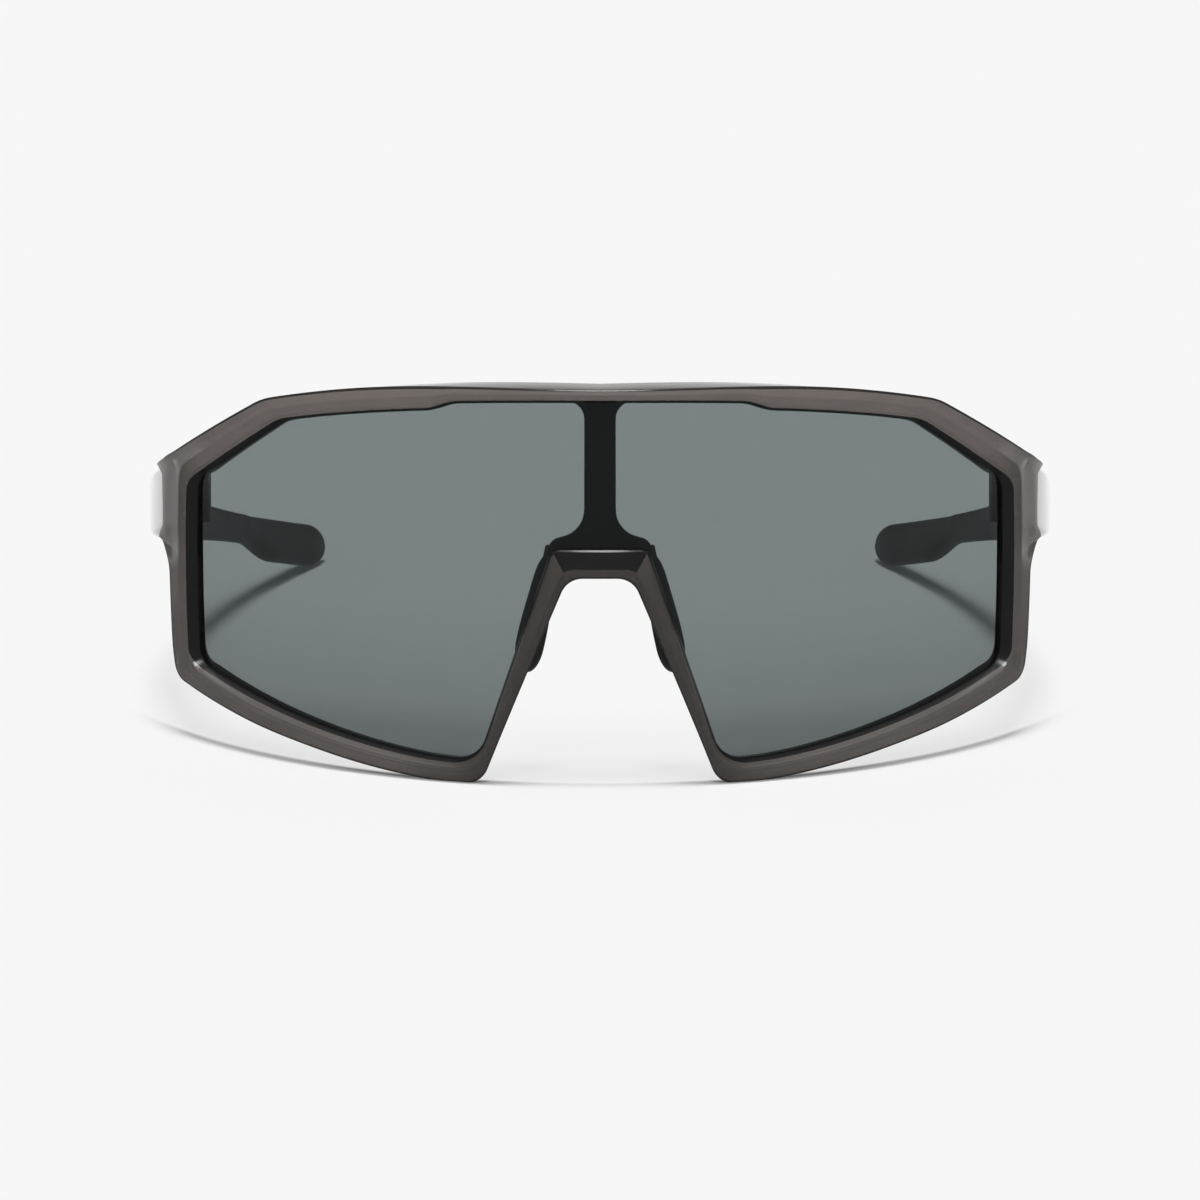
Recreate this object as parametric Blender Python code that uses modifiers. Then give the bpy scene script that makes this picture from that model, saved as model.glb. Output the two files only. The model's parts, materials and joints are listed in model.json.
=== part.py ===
# Wraparound sport sunglasses: a shield lens in a full rim, a nose bridge with two soft pads,
# and two folding temples on screwed leaf hinges. Metres, +Z up, the front faces -Y.

import math

import bmesh
import bpy
from mathutils import Matrix, Vector

# Rim outline, unrolled flat: reach is the arc length from the middle, rise is from the lens centre
TOP_RISE = 0.0328
BROW_REACH = 0.0585
BROW_DROP = 0.0044
SIDE_REACH = 0.0805
SHOULDER_DROP = 0.0150
SIDE_HEIGHT = 0.0361
JAW_TUCK = 0.0007
HEEL_REACH = 0.0193
HEEL_DROP = 0.0126
ARCH_REACH = 0.0051
ARCH_RISE = 0.0023
BROW_RADIUS = 0.0140
SHOULDER_RADIUS = 0.0025
JAW_RADIUS = 0.0030
HEEL_RADIUS = 0.0042
ARCH_RADIUS = 0.0036
TOP_POWER = 2.6
BOTTOM_POWER = 1.50
HEEL_FLAT = 0.0020

# Rim widths between the outer edge and the lens opening
RIM_TOP = 0.0040
RIM_MIDDLE_RAISE = 0.0010
RAISE_START = 0.0230
RAISE_END = 0.0285
RIM_BROW = 0.0032
RIM_SHOULDER = 0.0034
RIM_SIDE = 0.0056
RIM_JAW = 0.0028
RIM_HEEL = 0.0035
RIM_NOSE = 0.0006
BRIDGE_HEIGHT = 0.0045
BRIDGE_FLARE = 0.00245
OPENING_CORNER_RADIUS = 0.0035
OPENING_BROW_RADIUS = 0.0080
OPENING_HEEL_RADIUS = 0.0045
OPENING_BRIDGE_RADIUS = 0.0018

# Rim section, measured back from the ridge
RIM_DEPTH = 0.0050
EDGE_SETBACK = 0.0010
LIP_SETBACK = 0.0003
LIP_BEVEL = 0.0007
BACK_LIP = 0.0006
BACK_FLARE = 0.0016
BACK_CHAMFER = 0.0005
# Share of the rim's width, from the outer edge, where the ridge runs
RIDGE_SHARE = {
    "top": 0.45,
    "raise": 0.45,
    "brow": 0.50,
    "shoulder": 0.55,
    "jaw": 0.58,
    "heel": 0.62,
    "arch": 0.30,
}

# Lens
LENS_THICKNESS = 0.0014
LENS_RECESS = 0.0020
GROOVE_DEPTH = 0.0010
FIT = 0.0003

# Wrap of the front and its stance on the floor
WRAP_RADIUS = 0.0880
FACE_RADIUS = 0.3200
END_BEND_RADIUS = 0.0140
END_BEND_START = 0.0015
FRONT_LEAN = math.radians(5.0)
FOOT_CUT = 0.0003
STEEPEST_DROP = math.radians(60.0)

# Hinge
HINGE_BELOW_SHOULDER = 0.0076
PIVOT_INSET = 0.0001
PIVOT_BEYOND_SIDE = 0.0015
BARREL_RADIUS = 0.0015
PIN_RADIUS = 0.0007
PIN_CLEARANCE = 0.0001
LEAF_THICKNESS = 0.0008
LEAF_FACE = 0.00155
FRONT_LEAF_LENGTH = 0.0056
FRONT_LEAF_HALF = 0.0042
TEMPLE_LEAF_LENGTH = 0.0110
TEMPLE_LEAF_HALF = 0.0032
MIDDLE_KNUCKLE_HALF = 0.0013
KNUCKLE_GAP = 0.0002
KNUCKLE_RECESS = 0.0019
PIN_HEAD_RADIUS = 0.0013
PIN_HEAD_HEIGHT = 0.0008
LEAF_SCREW_RADIUS = 0.00055
LEAF_SCREW_LENGTH = 0.0032
LEAF_SCREW_HEAD_RADIUS = 0.0010
LEAF_SCREW_HEAD_HEIGHT = 0.0005
LEAF_SCREW_CLEARANCE = 0.0002
FRONT_SCREW_PLACE = 0.0038
FRONT_SCREW_SPACING = 0.0052
TEMPLE_SCREW_PLACES = (0.0045, 0.0090)
SCREW_HEAD_GAP = 0.0001
SLOT_WIDTH = 0.0004
SLOT_DEPTH = 0.0003
BOSS_MARGIN = 0.0006
BOSS_SHORT = 0.0006
BOSS_DEPTH = 0.0016

# End lug with its two prongs
LUG_FRONT = 0.0009
LUG_BACK = 0.0050
LUG_OVERLAP = 0.0035
LUG_LENGTH = 0.0080
LUG_HEIGHT = 0.0106
LUG_FILLET = 0.0055
LUG_TOP_SLOPE = 0.55
LUG_UNDER = 0.0003
PRONG_GAP = 0.0078
PRONG_END = 0.0006
PRONG_LENGTH = 0.0026
PRONG_TIP_HALF = 0.0056

# Temple arm: places are distances back from the pivot, heights are along the hinge axis
TEMPLE_LENGTH = 0.1220
ARM_INNER_FACE = 0.0018
ARM_OUTER_FACE = 0.0094
HEAD_TUCK = 0.0044
HEAD_END = 0.0320
HEAD_TOP = 0.0057
HEAD_BOTTOM = -0.0059
ARM_THICKNESS = 0.0038
HEAD_SLIM_END = 0.0360
SLIM_START = 0.0550
SLIM_TOP = 0.0029
SLIM_BOTTOM = -0.0033
CURVE_START = 0.0240
CURVE_INWARD = 0.0213
EDGE_CHAMFER = 0.0011
INNER_CHAMFER = 0.0005

# Soft tip sleeve over the arm's tang
TIP_LENGTH = 0.0360
TIP_TOP = 0.0026
TIP_BOTTOM = -0.0051
TIP_NECK_BOTTOM = -0.0025
TIP_SWEEP_START = 0.0020
TIP_SWEEP_END = 0.0160
TIP_END_ROUND = 0.0036
TIP_END_THINNING = 0.00095
TIP_END_ANGLE = math.radians(74.0)
TANG_TOP = 0.0013
TANG_BOTTOM = -0.0013
TANG_THICKNESS = 0.0015
TANG_SHORT = 0.0070

# Nose bridge and pads
COLUMN_HALF = 0.00265
COLUMN_TOP_HALF = 0.0060
COLUMN_TOP_MARGIN = 0.0004
COLUMN_FLARE_HALF = 0.0083
COLUMN_TOP_RADIUS = 0.0028
COLUMN_FLARE_RISE = 0.0016
COLUMN_FLARE_RADIUS = 0.0045
SADDLE_MARGIN = 0.0006
SADDLE_TOP_MARGIN = 0.0010
SADDLE_SIDE_HALF = 0.0090
SADDLE_SIDE_DROP = 0.0024
SADDLE_SHOULDER_RADIUS = 0.0020
COLUMN_DEPTH = 0.0020
PAD_REACH = 0.0105
PAD_RISE = -0.0045
PAD_BEHIND = 0.0050
PAD_LENGTH = 0.0191
PAD_TOP_HALF = 0.0028
PAD_BOTTOM_HALF = 0.0034
PAD_THICKNESS = 0.0026
PAD_EDGE = 0.0008
PAD_TOP_RADIUS = 0.0022
PAD_BOTTOM_RADIUS = 0.0030
PAD_SPLAY = math.radians(58.0)
PAD_LEAN = math.radians(12.5)
TAB_HALF = 0.0014
TAB_THICKNESS = 0.0009
TAB_REACH = 0.0100
LEG_ROOT_REACH = 0.0053

# Fineness of the faceted curves
LENS_STRIP_REACH = 0.0050
LENS_STRIP_RISE = 0.0100
LUG_STRIP_REACH = 0.0010
LUG_STRIP_RISE = 0.0050
BARREL_SEGMENTS = 28
HOLE_SEGMENTS = 16
SCREW_STEPS = 20
SMOOTH_ANGLE = math.radians(35.0)
MERGE_DISTANCE = 1e-6

COLLECTION_NAME = "sport_sunglasses"
SIDES = {"left": 1.0, "right": -1.0}


def clear_scene():
    for existing in list(bpy.data.objects):
        bpy.data.objects.remove(existing)


def new_collection(name):
    collection = bpy.data.collections.new(name)
    bpy.context.scene.collection.children.link(collection)
    return collection


def new_material(name, colour, roughness, metallic=0.0):
    material = bpy.data.materials.new(name)
    material.use_nodes = True
    shader = material.node_tree.nodes["Principled BSDF"]
    shader.inputs["Base Color"].default_value = (*colour, 1.0)
    shader.inputs["Roughness"].default_value = roughness
    shader.inputs["Metallic"].default_value = metallic
    return material


def link_mesh(name, bm, parent, collection):
    mesh = bpy.data.meshes.new(name)
    bm.to_mesh(mesh)
    bm.free()
    item = bpy.data.objects.new(name, mesh)
    item.parent = parent
    collection.objects.link(item)
    return item


def add_part(name, bm, material, parent):
    item = link_mesh(name, bm, parent, PARTS)
    item.data.materials.append(material)
    return item


def smooth_part(item):
    item.data.shade_smooth()
    item.data.set_sharp_from_angle(angle=SMOOTH_ANGLE)


def add_tool(name, bm, parent):
    item = link_mesh(name, bm, parent, TOOLS)
    item.hide_render = True
    item.display_type = "WIRE"
    return item


def add_empty(name, location, rotation):
    item = bpy.data.objects.new(name, None)
    item.location = location
    item.rotation_euler = rotation
    TOOLS.objects.link(item)
    return item


def boolean(item, tool, operation):
    modifier = item.modifiers.new(tool.name, "BOOLEAN")
    modifier.operation = operation
    modifier.object = tool
    modifier.solver = "EXACT"


def placed(bm, matrix):
    bm.transform(matrix)
    if matrix.determinant() < 0:
        bmesh.ops.reverse_faces(bm, faces=bm.faces[:])
    return bm


def mirror_for(side):
    return Matrix.Diagonal((SIDES[side], 1.0, 1.0, 1.0))


def box(low, high):
    low = Vector(low)
    high = Vector(high)
    bm = bmesh.new()
    place = Matrix.Translation((low + high) / 2) @ Matrix.Diagonal((*(high - low), 1.0))
    bmesh.ops.create_cube(bm, size=1.0, matrix=place)
    return bm


def add_cylinder(bm, radius, start, end, segments):
    start = Vector(start)
    end = Vector(end)
    turn_to = (end - start).to_track_quat("Z", "Y").to_matrix().to_4x4()
    bmesh.ops.create_cone(
        bm,
        cap_ends=True,
        segments=segments,
        radius1=radius,
        radius2=radius,
        depth=(end - start).length,
        matrix=Matrix.Translation((start + end) / 2) @ turn_to,
    )
    return bm


def prism(outline, across, along, up, low, high):
    """Extrude a flat outline of (along, up) points from low to high in the across direction."""
    bm = bmesh.new()
    flat = [Vector(along) * a + Vector(up) * b + Vector(across) * low for a, b in outline]
    face = bm.faces.new([bm.verts.new(point) for point in flat])
    grown = bmesh.ops.extrude_face_region(bm, geom=[face])
    moved = [item for item in grown["geom"] if isinstance(item, bmesh.types.BMVert)]
    bmesh.ops.translate(bm, verts=moved, vec=Vector(across) * (high - low))
    bmesh.ops.recalc_face_normals(bm, faces=bm.faces[:])
    return bm


def loft(rings, cyclic=False):
    """Skin a row of rings with equal counts of points, closing the ends unless it is cyclic."""
    bm = bmesh.new()
    rows = [[bm.verts.new(point) for point in ring] for ring in rings]
    following = rows[1:] + rows[:1] if cyclic else rows[1:]
    for row, after in zip(rows, following):
        for index in range(len(row)):
            beside = (index + 1) % len(row)
            bm.faces.new((row[index], row[beside], after[beside], after[index]))
    if not cyclic:
        bm.faces.new(rows[0])
        bm.faces.new(rows[-1])
    bmesh.ops.recalc_face_normals(bm, faces=bm.faces[:])
    return bm


def ease(share):
    share = min(max(share, 0.0), 1.0)
    return share * share * (3.0 - 2.0 * share)


def mix(first, second, share):
    return first + (second - first) * share


def turn(before, corner, after, radius, steps):
    """Points of the arc that rounds a corner, from one tangent point to the other."""
    incoming = (corner - before).normalized()
    outgoing = (after - corner).normalized()
    cross = incoming.x * outgoing.y - incoming.y * outgoing.x
    bend = math.atan2(cross, incoming.dot(outgoing))
    start = corner - incoming * radius * math.tan(abs(bend) / 2)
    side = Vector((-incoming.y, incoming.x)) * math.copysign(radius, bend)
    centre = start + side
    return [centre + Matrix.Rotation(bend * k / steps, 2) @ (start - centre) for k in range(steps + 1)]


def spread(first, last, count):
    """Evenly spaced values from the first to the last, in a count of equal steps."""
    return [mix(first, last, k / count) for k in range(count + 1)]


def rounded_loop(corners, steps):
    """Closed outline through (point, radius) corners."""
    points = []
    for index, (corner, radius) in enumerate(corners):
        before = corners[index - 1][0]
        after = corners[(index + 1) % len(corners)][0]
        points += turn(before, corner, after, radius, steps) if radius else [corner]
    return points


def offset(loop, distance):
    """Move a clockwise loop outward by a distance."""
    moved = []
    for index, point in enumerate(loop):
        step = loop[(index + 1) % len(loop)] - loop[index - 1]
        moved.append(point + Vector((-step.y, step.x)).normalized() * distance)
    return moved


def outer_corners():
    shoulder_rise = TOP_RISE - SHOULDER_DROP
    jaw_rise = shoulder_rise - SIDE_HEIGHT
    return {
        "top": TOP_RISE,
        "raise": 0.0,
        "brow": Vector((BROW_REACH, TOP_RISE - BROW_DROP, BROW_RADIUS)),
        "shoulder": Vector((SIDE_REACH, shoulder_rise, SHOULDER_RADIUS)),
        "jaw": Vector((SIDE_REACH - JAW_TUCK, jaw_rise, JAW_RADIUS)),
        "heel": Vector((HEEL_REACH, jaw_rise - HEEL_DROP, HEEL_RADIUS)),
        "arch": Vector((ARCH_REACH, ARCH_RISE, ARCH_RADIUS)),
    }


def opening_corners():
    outer = outer_corners()
    inset = {
        "brow": Vector((-RIM_BROW, -RIM_BROW)),
        "shoulder": Vector((-RIM_SIDE, -RIM_SHOULDER)),
        "jaw": Vector((JAW_TUCK - RIM_SIDE, RIM_JAW)),
        "heel": Vector((RIM_NOSE, RIM_HEEL)),
        "arch": Vector((BRIDGE_FLARE, BRIDGE_HEIGHT)),
    }
    radius = {
        "brow": OPENING_BROW_RADIUS,
        "heel": OPENING_HEEL_RADIUS,
        "arch": OPENING_BRIDGE_RADIUS,
    }
    corners = {"top": TOP_RISE - RIM_TOP, "raise": RIM_MIDDLE_RAISE}
    for name, step in inset.items():
        moved = outer[name].xy + step
        corners[name] = Vector((*moved, radius.get(name, OPENING_CORNER_RADIUS)))
    return corners


def ridge_corners():
    outer = outer_corners()
    inner = opening_corners()
    return {name: mix(outer[name], inner[name], RIDGE_SHARE[name]) for name in outer}


def top_rise(corners, reach):
    drop = (corners["top"] - corners["brow"].y) * (reach / corners["brow"].x) ** TOP_POWER
    raised = ease((RAISE_END - reach) / (RAISE_END - RAISE_START))
    return corners["top"] - drop + corners["raise"] * raised


def bottom_rise(corners, reach):
    jaw = corners["jaw"]
    heel = corners["heel"]
    flat_end = heel.x + HEEL_FLAT
    share = max(reach - flat_end, 0.0) / (jaw.x - flat_end)
    return heel.y + (jaw.y - heel.y) * share**BOTTOM_POWER


def outline(corners):
    """Closed clockwise outline of the rim or the opening, as flat (reach, rise) points."""
    brow, shoulder, jaw, heel, arch = [
        corners[name].xy for name in ("brow", "shoulder", "jaw", "heel", "arch")
    ]
    radius = {name: corners[name].z for name in ("brow", "shoulder", "jaw", "heel", "arch")}
    reaches = spread(0.0, RAISE_START, 4)[:-1] + spread(RAISE_START, RAISE_END, 4)
    reaches += spread(RAISE_END, brow.x, 5)[1:-1]
    top = [Vector((reach, top_rise(corners, reach))) for reach in reaches]
    sweep = spread(jaw.x, heel.x + HEEL_FLAT, 12)[1:-1]
    bottom = [Vector((reach, bottom_rise(corners, reach))) for reach in sweep]
    brow_arc = turn(top[-1], brow, shoulder, radius["brow"], 3)
    shoulder_arc = turn(brow, shoulder, jaw, radius["shoulder"], 4)
    jaw_arc = turn(shoulder, jaw, bottom[0], radius["jaw"], 4)
    heel_arc = turn(bottom[-1], heel, arch, radius["heel"], 5)
    arch_arc = turn(heel, arch, Vector((0.0, arch.y)), radius["arch"], 4)
    half = top + brow_arc + spread(brow_arc[-1], shoulder_arc[0], 5)[1:-1]
    half += shoulder_arc + spread(shoulder_arc[-1], jaw_arc[0], 6)[1:-1]
    half += jaw_arc + bottom + heel_arc + spread(heel_arc[-1], arch_arc[0], 7)[1:-1]
    half += arch_arc + [Vector((0.0, arch.y))]
    return half + [Vector((-point.x, point.y)) for point in half[-2:0:-1]]


def bend_start():
    return SIDE_REACH + END_BEND_START


def plan(reach):
    """Plan position and outward normal of the front at an arc length from the middle."""
    distance = abs(reach)
    angle = min(distance, bend_start()) / WRAP_RADIUS
    x = WRAP_RADIUS * math.sin(angle)
    y = WRAP_RADIUS * (1.0 - math.cos(angle))
    if distance > bend_start():
        bent = angle + (distance - bend_start()) / END_BEND_RADIUS
        x += END_BEND_RADIUS * (math.sin(bent) - math.sin(angle))
        y += END_BEND_RADIUS * (math.cos(angle) - math.cos(bent))
        angle = bent
    sign = math.copysign(1.0, reach)
    return Vector((sign * x, y, 0.0)), Vector((sign * math.sin(angle), -math.cos(angle), 0.0))


def wrap(reach, rise, depth):
    """Point of the curved front, a depth behind its ridge surface."""
    place, normal = plan(reach)
    lift_angle = rise / FACE_RADIUS
    radius = FACE_RADIUS - depth
    swell = radius * math.cos(lift_angle) - FACE_RADIUS
    return place + normal * swell + Vector((0.0, 0.0, radius * math.sin(lift_angle)))


def wrapped_ring(loop, depth):
    return [wrap(point.x, point.y, depth) for point in loop]


def wrapped_plate(loop, front, back, reach_step, rise_step):
    """Solid plate that follows the curved front, cut into strips so that it bends smoothly."""
    bm = bmesh.new()
    bm.faces.new([bm.verts.new((point.x, front, point.y)) for point in loop])
    for axis, step in ((0, reach_step), (2, rise_step)):
        values = [vert.co[axis] for vert in bm.verts]
        normal = Vector((0.0, 0.0, 0.0))
        normal[axis] = 1.0
        for k in range(math.ceil(min(values) / step), math.floor(max(values) / step) + 1):
            everything = bm.verts[:] + bm.edges[:] + bm.faces[:]
            place = normal * (k * step)
            bmesh.ops.bisect_plane(
                bm, geom=everything, dist=MERGE_DISTANCE, plane_co=place, plane_no=normal
            )
    grown = bmesh.ops.extrude_face_region(bm, geom=bm.faces[:])
    for item in grown["geom"]:
        if isinstance(item, bmesh.types.BMVert):
            item.co.y = back
    for vert in bm.verts:
        vert.co = wrap(vert.co.x, vert.co.z, vert.co.y)
    bmesh.ops.recalc_face_normals(bm, faces=bm.faces[:])
    return bm


# Depths that the lens, its groove and the rim share
LENS_BACK = LENS_RECESS + LENS_THICKNESS
GROOVE_FRONT = LENS_RECESS - FIT
GROOVE_BACK = LENS_BACK + FIT
SEAT_FACE = LEAF_FACE + FIT
PIVOT_DEPTH = RIM_DEPTH + PIVOT_INSET + BARREL_RADIUS - FIT


def rim_rings():
    outer = outline(outer_corners())
    ridge = outline(ridge_corners())
    opening = outline(opening_corners())
    groove = offset(opening, GROOVE_DEPTH)
    return [
        wrapped_ring(outer, EDGE_SETBACK),
        wrapped_ring(ridge, 0.0),
        wrapped_ring(offset(opening, LIP_BEVEL), LIP_SETBACK),
        wrapped_ring(opening, GROOVE_FRONT),
        wrapped_ring(groove, GROOVE_FRONT),
        wrapped_ring(groove, GROOVE_BACK),
        wrapped_ring(opening, GROOVE_BACK),
        wrapped_ring(opening, GROOVE_BACK + BACK_LIP),
        wrapped_ring(offset(opening, BACK_FLARE), RIM_DEPTH),
        wrapped_ring(offset(outer, -BACK_CHAMFER), RIM_DEPTH),
    ]


def hinge_rise():
    return TOP_RISE - SHOULDER_DROP - HINGE_BELOW_SHOULDER


def pivot_in_front():
    return wrap(SIDE_REACH + PIVOT_BEYOND_SIDE, hinge_rise(), PIVOT_DEPTH)


def seat_angle():
    """Turn of the front leaf about the pin, set by the rim's slant where the leaf sits."""
    normal = plan(SIDE_REACH + PIVOT_BEYOND_SIDE - FRONT_SCREW_PLACE)[1]
    return math.atan2(normal.x, -normal.y)


def table(place, rows):
    """Value at a place along rows of (place, value), eased from one row to the next."""
    for (start, first), (end, last) in zip(rows, rows[1:]):
        if place <= end:
            return mix(first, last, ease((place - start) / (end - start)))
    return rows[-1][1]


def tip_start():
    return TEMPLE_LENGTH - TIP_LENGTH


def tongue_place():
    return PRONG_END - PRONG_LENGTH + FIT


def arm_outer(place):
    """Outer face of a temple: tucked in at the hinge, flaring out, then curving in to the ear."""
    tuck = max(1.0 - (place - tongue_place()) / HEAD_END, 0.0)
    inward = max(place - CURVE_START, 0.0) / (TEMPLE_LENGTH - CURVE_START)
    return ARM_OUTER_FACE - HEAD_TUCK * tuck**2 - CURVE_INWARD * inward**2


def arm_inner(place):
    head = TEMPLE_LEAF_LENGTH + KNUCKLE_RECESS
    slim = ease((place - head) / (HEAD_SLIM_END - head))
    return mix(ARM_INNER_FACE, arm_outer(place) - ARM_THICKNESS, slim)


def arm_top(place):
    rows = [(0.0, HEAD_TOP), (SLIM_START, SLIM_TOP), (tip_start(), TIP_TOP)]
    return table(place, rows)


def arm_bottom(place):
    rows = [(0.0, HEAD_BOTTOM), (SLIM_START, SLIM_BOTTOM), (tip_start(), TIP_NECK_BOTTOM)]
    return table(place, rows)


def tip_bottom(place):
    start = tip_start()
    rows = [(start + TIP_SWEEP_START, TIP_NECK_BOTTOM), (start + TIP_SWEEP_END, TIP_BOTTOM)]
    return table(max(place, rows[0][0]), rows)


def bar_section(place, inner, outer, bottom, top, inner_chamfer, outer_chamfer):
    """Eight-cornered section of a temple, at a place behind the pivot."""
    flat = (
        (inner + inner_chamfer, bottom),
        (outer - outer_chamfer, bottom),
        (outer, bottom + outer_chamfer),
        (outer, top - outer_chamfer),
        (outer - outer_chamfer, top),
        (inner + inner_chamfer, top),
        (inner, top - inner_chamfer),
        (inner, bottom + inner_chamfer),
    )
    return [Vector((out, place, height)) for out, height in flat]


def arm_section(place):
    return bar_section(
        place,
        arm_inner(place),
        arm_outer(place),
        arm_bottom(place),
        arm_top(place),
        INNER_CHAMFER,
        EDGE_CHAMFER,
    )


def tang_section(place, margin):
    centre = arm_outer(place) - ARM_THICKNESS / 2
    half = TANG_THICKNESS / 2 + margin
    edge = INNER_CHAMFER
    return bar_section(
        place, centre - half, centre + half, TANG_BOTTOM - margin, TANG_TOP + margin, edge, edge
    )


def tip_section(place):
    bottom = tip_bottom(place)
    past = max(place - (TEMPLE_LENGTH - TIP_END_ROUND), 0.0) / TIP_END_ROUND
    shrink = (TIP_TOP - bottom) / 2 * (1.0 - math.sqrt(max(1.0 - past**2, 0.0)))
    thin = TIP_END_THINNING * past**2
    outer = arm_outer(place) - thin
    inner = arm_outer(place) - ARM_THICKNESS + thin
    edge = EDGE_CHAMFER - thin / 2
    return bar_section(place, inner, outer, bottom + shrink, TIP_TOP - shrink, edge, edge)


def tip_rings():
    start = tip_start() + FIT
    straight_end = TEMPLE_LENGTH - TIP_END_ROUND
    places = spread(start, straight_end, 11)
    for angle in spread(0.0, TIP_END_ANGLE, 4)[1:]:
        places.append(straight_end + TIP_END_ROUND * math.sin(angle))
    return [tip_section(place) for place in places]


def front_rotation():
    return Matrix.Rotation(-FRONT_LEAN, 4, "X")


def stance():
    """Lift of the front, drop angle of the temples, and the shift that centres the whole."""
    lean = front_rotation()
    rim = [lean @ point for ring in rim_rings() for point in ring]
    lift = -min(point.z for point in rim) - FOOT_CUT
    pivot = lean @ pivot_in_front()
    tip = [point for ring in tip_rings() for point in ring]
    low, high = 0.0, STEEPEST_DROP
    while high - low > MERGE_DISTANCE:
        angle = (low + high) / 2
        reach = min(point.z * math.cos(angle) - point.y * math.sin(angle) for point in tip)
        if pivot.z + lift + reach > -FOOT_CUT:
            low = angle
        else:
            high = angle
    back = max(pivot.y + point.y * math.cos(low) + point.z * math.sin(low) for point in tip)
    front = min(point.y for point in rim)
    return lift, low, -(front + back) / 2


def floor_tool():
    reach = 2 * (SIDE_REACH + TEMPLE_LENGTH)
    return add_tool("floor_cut", box((-reach, -reach, -reach), (reach, reach, 0.0)), None)


def lug_outline():
    """Flat outline of the end lug beside the hinge, which carries the two prongs."""
    outer = outer_corners()
    brow = outer["brow"].xy
    shoulder = outer["shoulder"].xy
    slope = (shoulder.y - brow.y) / (shoulder.x - brow.x)
    root = SIDE_REACH - LUG_OVERLAP
    end = SIDE_REACH + LUG_LENGTH
    top_root = shoulder.y + (root - shoulder.x) * slope - LUG_UNDER
    top_end = shoulder.y + (end - shoulder.x) * slope * LUG_TOP_SLOPE - LUG_UNDER
    bottom_end = shoulder.y - LUG_HEIGHT - RIM_SHOULDER
    fillet_side = SIDE_REACH - JAW_TUCK
    corners = [
        (Vector((root, top_root)), 0.0),
        (Vector((shoulder.x, shoulder.y - LUG_UNDER)), 0.0),
        (Vector((end, top_end)), 0.0),
        (Vector((end, bottom_end)), 0.0),
        (Vector((fillet_side, bottom_end)), LUG_FILLET),
        (Vector((fillet_side, bottom_end - 2 * LUG_FILLET)), 0.0),
        (Vector((root, bottom_end - 2 * LUG_FILLET)), 0.0),
    ]
    return rounded_loop(corners, 5)


def lug_tool(side):
    plate = wrapped_plate(lug_outline(), LUG_FRONT, LUG_BACK, LUG_STRIP_REACH, LUG_STRIP_RISE)
    return add_tool(f"{side}_lug", placed(plate, mirror_for(side)), FRONT_DATUM)


def prong_tool(side):
    """Cutter that ends the lug behind the rim and opens the slot between its prongs."""
    half = PRONG_GAP / 2
    base = PRONG_END - PRONG_LENGTH
    far = 4 * PRONG_GAP
    flat = [
        (base, -half),
        (base, half),
        (PRONG_END, PRONG_TIP_HALF),
        (PRONG_END, far),
        (far, far),
        (far, -far),
        (PRONG_END, -far),
        (PRONG_END, -PRONG_TIP_HALF),
    ]
    cutter = prism(flat, (1, 0, 0), (0, 1, 0), (0, 0, 1), ARM_INNER_FACE - FIT, far)
    return add_tool(f"{side}_prong_cut", placed(cutter, mirror_for(side)), SEATS[side])


def leaf_turn(side):
    """From leaf space (along, into the seat, up) to the hinge space of one side's front leaf."""
    return mirror_for(side) @ Matrix.Rotation(math.pi + seat_angle(), 4, "Z")


def arm_turn(side):
    """From leaf space to the hinge space of one side's temple leaf."""
    swap = Matrix(((0, 1, 0, 0), (1, 0, 0, 0), (0, 0, 1, 0), (0, 0, 0, 1)))
    return mirror_for(side) @ swap


def leaf_boss_tool(side):
    """Block moulded on the rim's back that gives the front leaf a flat seat."""
    half = FRONT_LEAF_HALF + BOSS_MARGIN
    low = (KNUCKLE_RECESS, SEAT_FACE, -half)
    high = (FRONT_LEAF_LENGTH - BOSS_SHORT, SEAT_FACE + BOSS_DEPTH, half)
    return add_tool(f"{side}_leaf_boss", placed(box(low, high), leaf_turn(side)), SEATS[side])


def leaf_pocket_tool(side):
    low = (-BARREL_RADIUS, -4 * BARREL_RADIUS, -FRONT_LEAF_HALF - FIT)
    high = (FRONT_LEAF_LENGTH + FIT, SEAT_FACE, FRONT_LEAF_HALF + FIT)
    return add_tool(f"{side}_leaf_pocket", placed(box(low, high), leaf_turn(side)), SEATS[side])


def front_screw_places():
    half = FRONT_SCREW_SPACING / 2
    return [(FRONT_SCREW_PLACE, half), (FRONT_SCREW_PLACE, -half)]


def temple_screw_places():
    return [(place, 0.0) for place in TEMPLE_SCREW_PLACES]


def screw_hole_tool(name, places, turn_matrix, parent):
    """Clearance holes behind a leaf for its screws."""
    bm = bmesh.new()
    depth = LEAF_FACE - LEAF_THICKNESS + LEAF_SCREW_LENGTH + FIT
    for along, up in places:
        radius = LEAF_SCREW_RADIUS + LEAF_SCREW_CLEARANCE
        add_cylinder(bm, radius, (along, 0.0, up), (along, depth, up), HOLE_SEGMENTS)
    return add_tool(name, placed(bm, turn_matrix), parent)


def make_front_frame():
    frame = add_part("front_frame", loft(rim_rings(), cyclic=True), SMOKE, FRONT_DATUM)
    for side in SIDES:
        boolean(frame, lug_tool(side), "UNION")
        boolean(frame, leaf_boss_tool(side), "UNION")
    for side in SIDES:
        boolean(frame, prong_tool(side), "DIFFERENCE")
        boolean(frame, leaf_pocket_tool(side), "DIFFERENCE")
        name = f"{side}_front_screw_holes"
        holes = screw_hole_tool(name, front_screw_places(), leaf_turn(side), SEATS[side])
        boolean(frame, holes, "DIFFERENCE")
    boolean(frame, FLOOR, "DIFFERENCE")
    smooth_part(frame)


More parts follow.
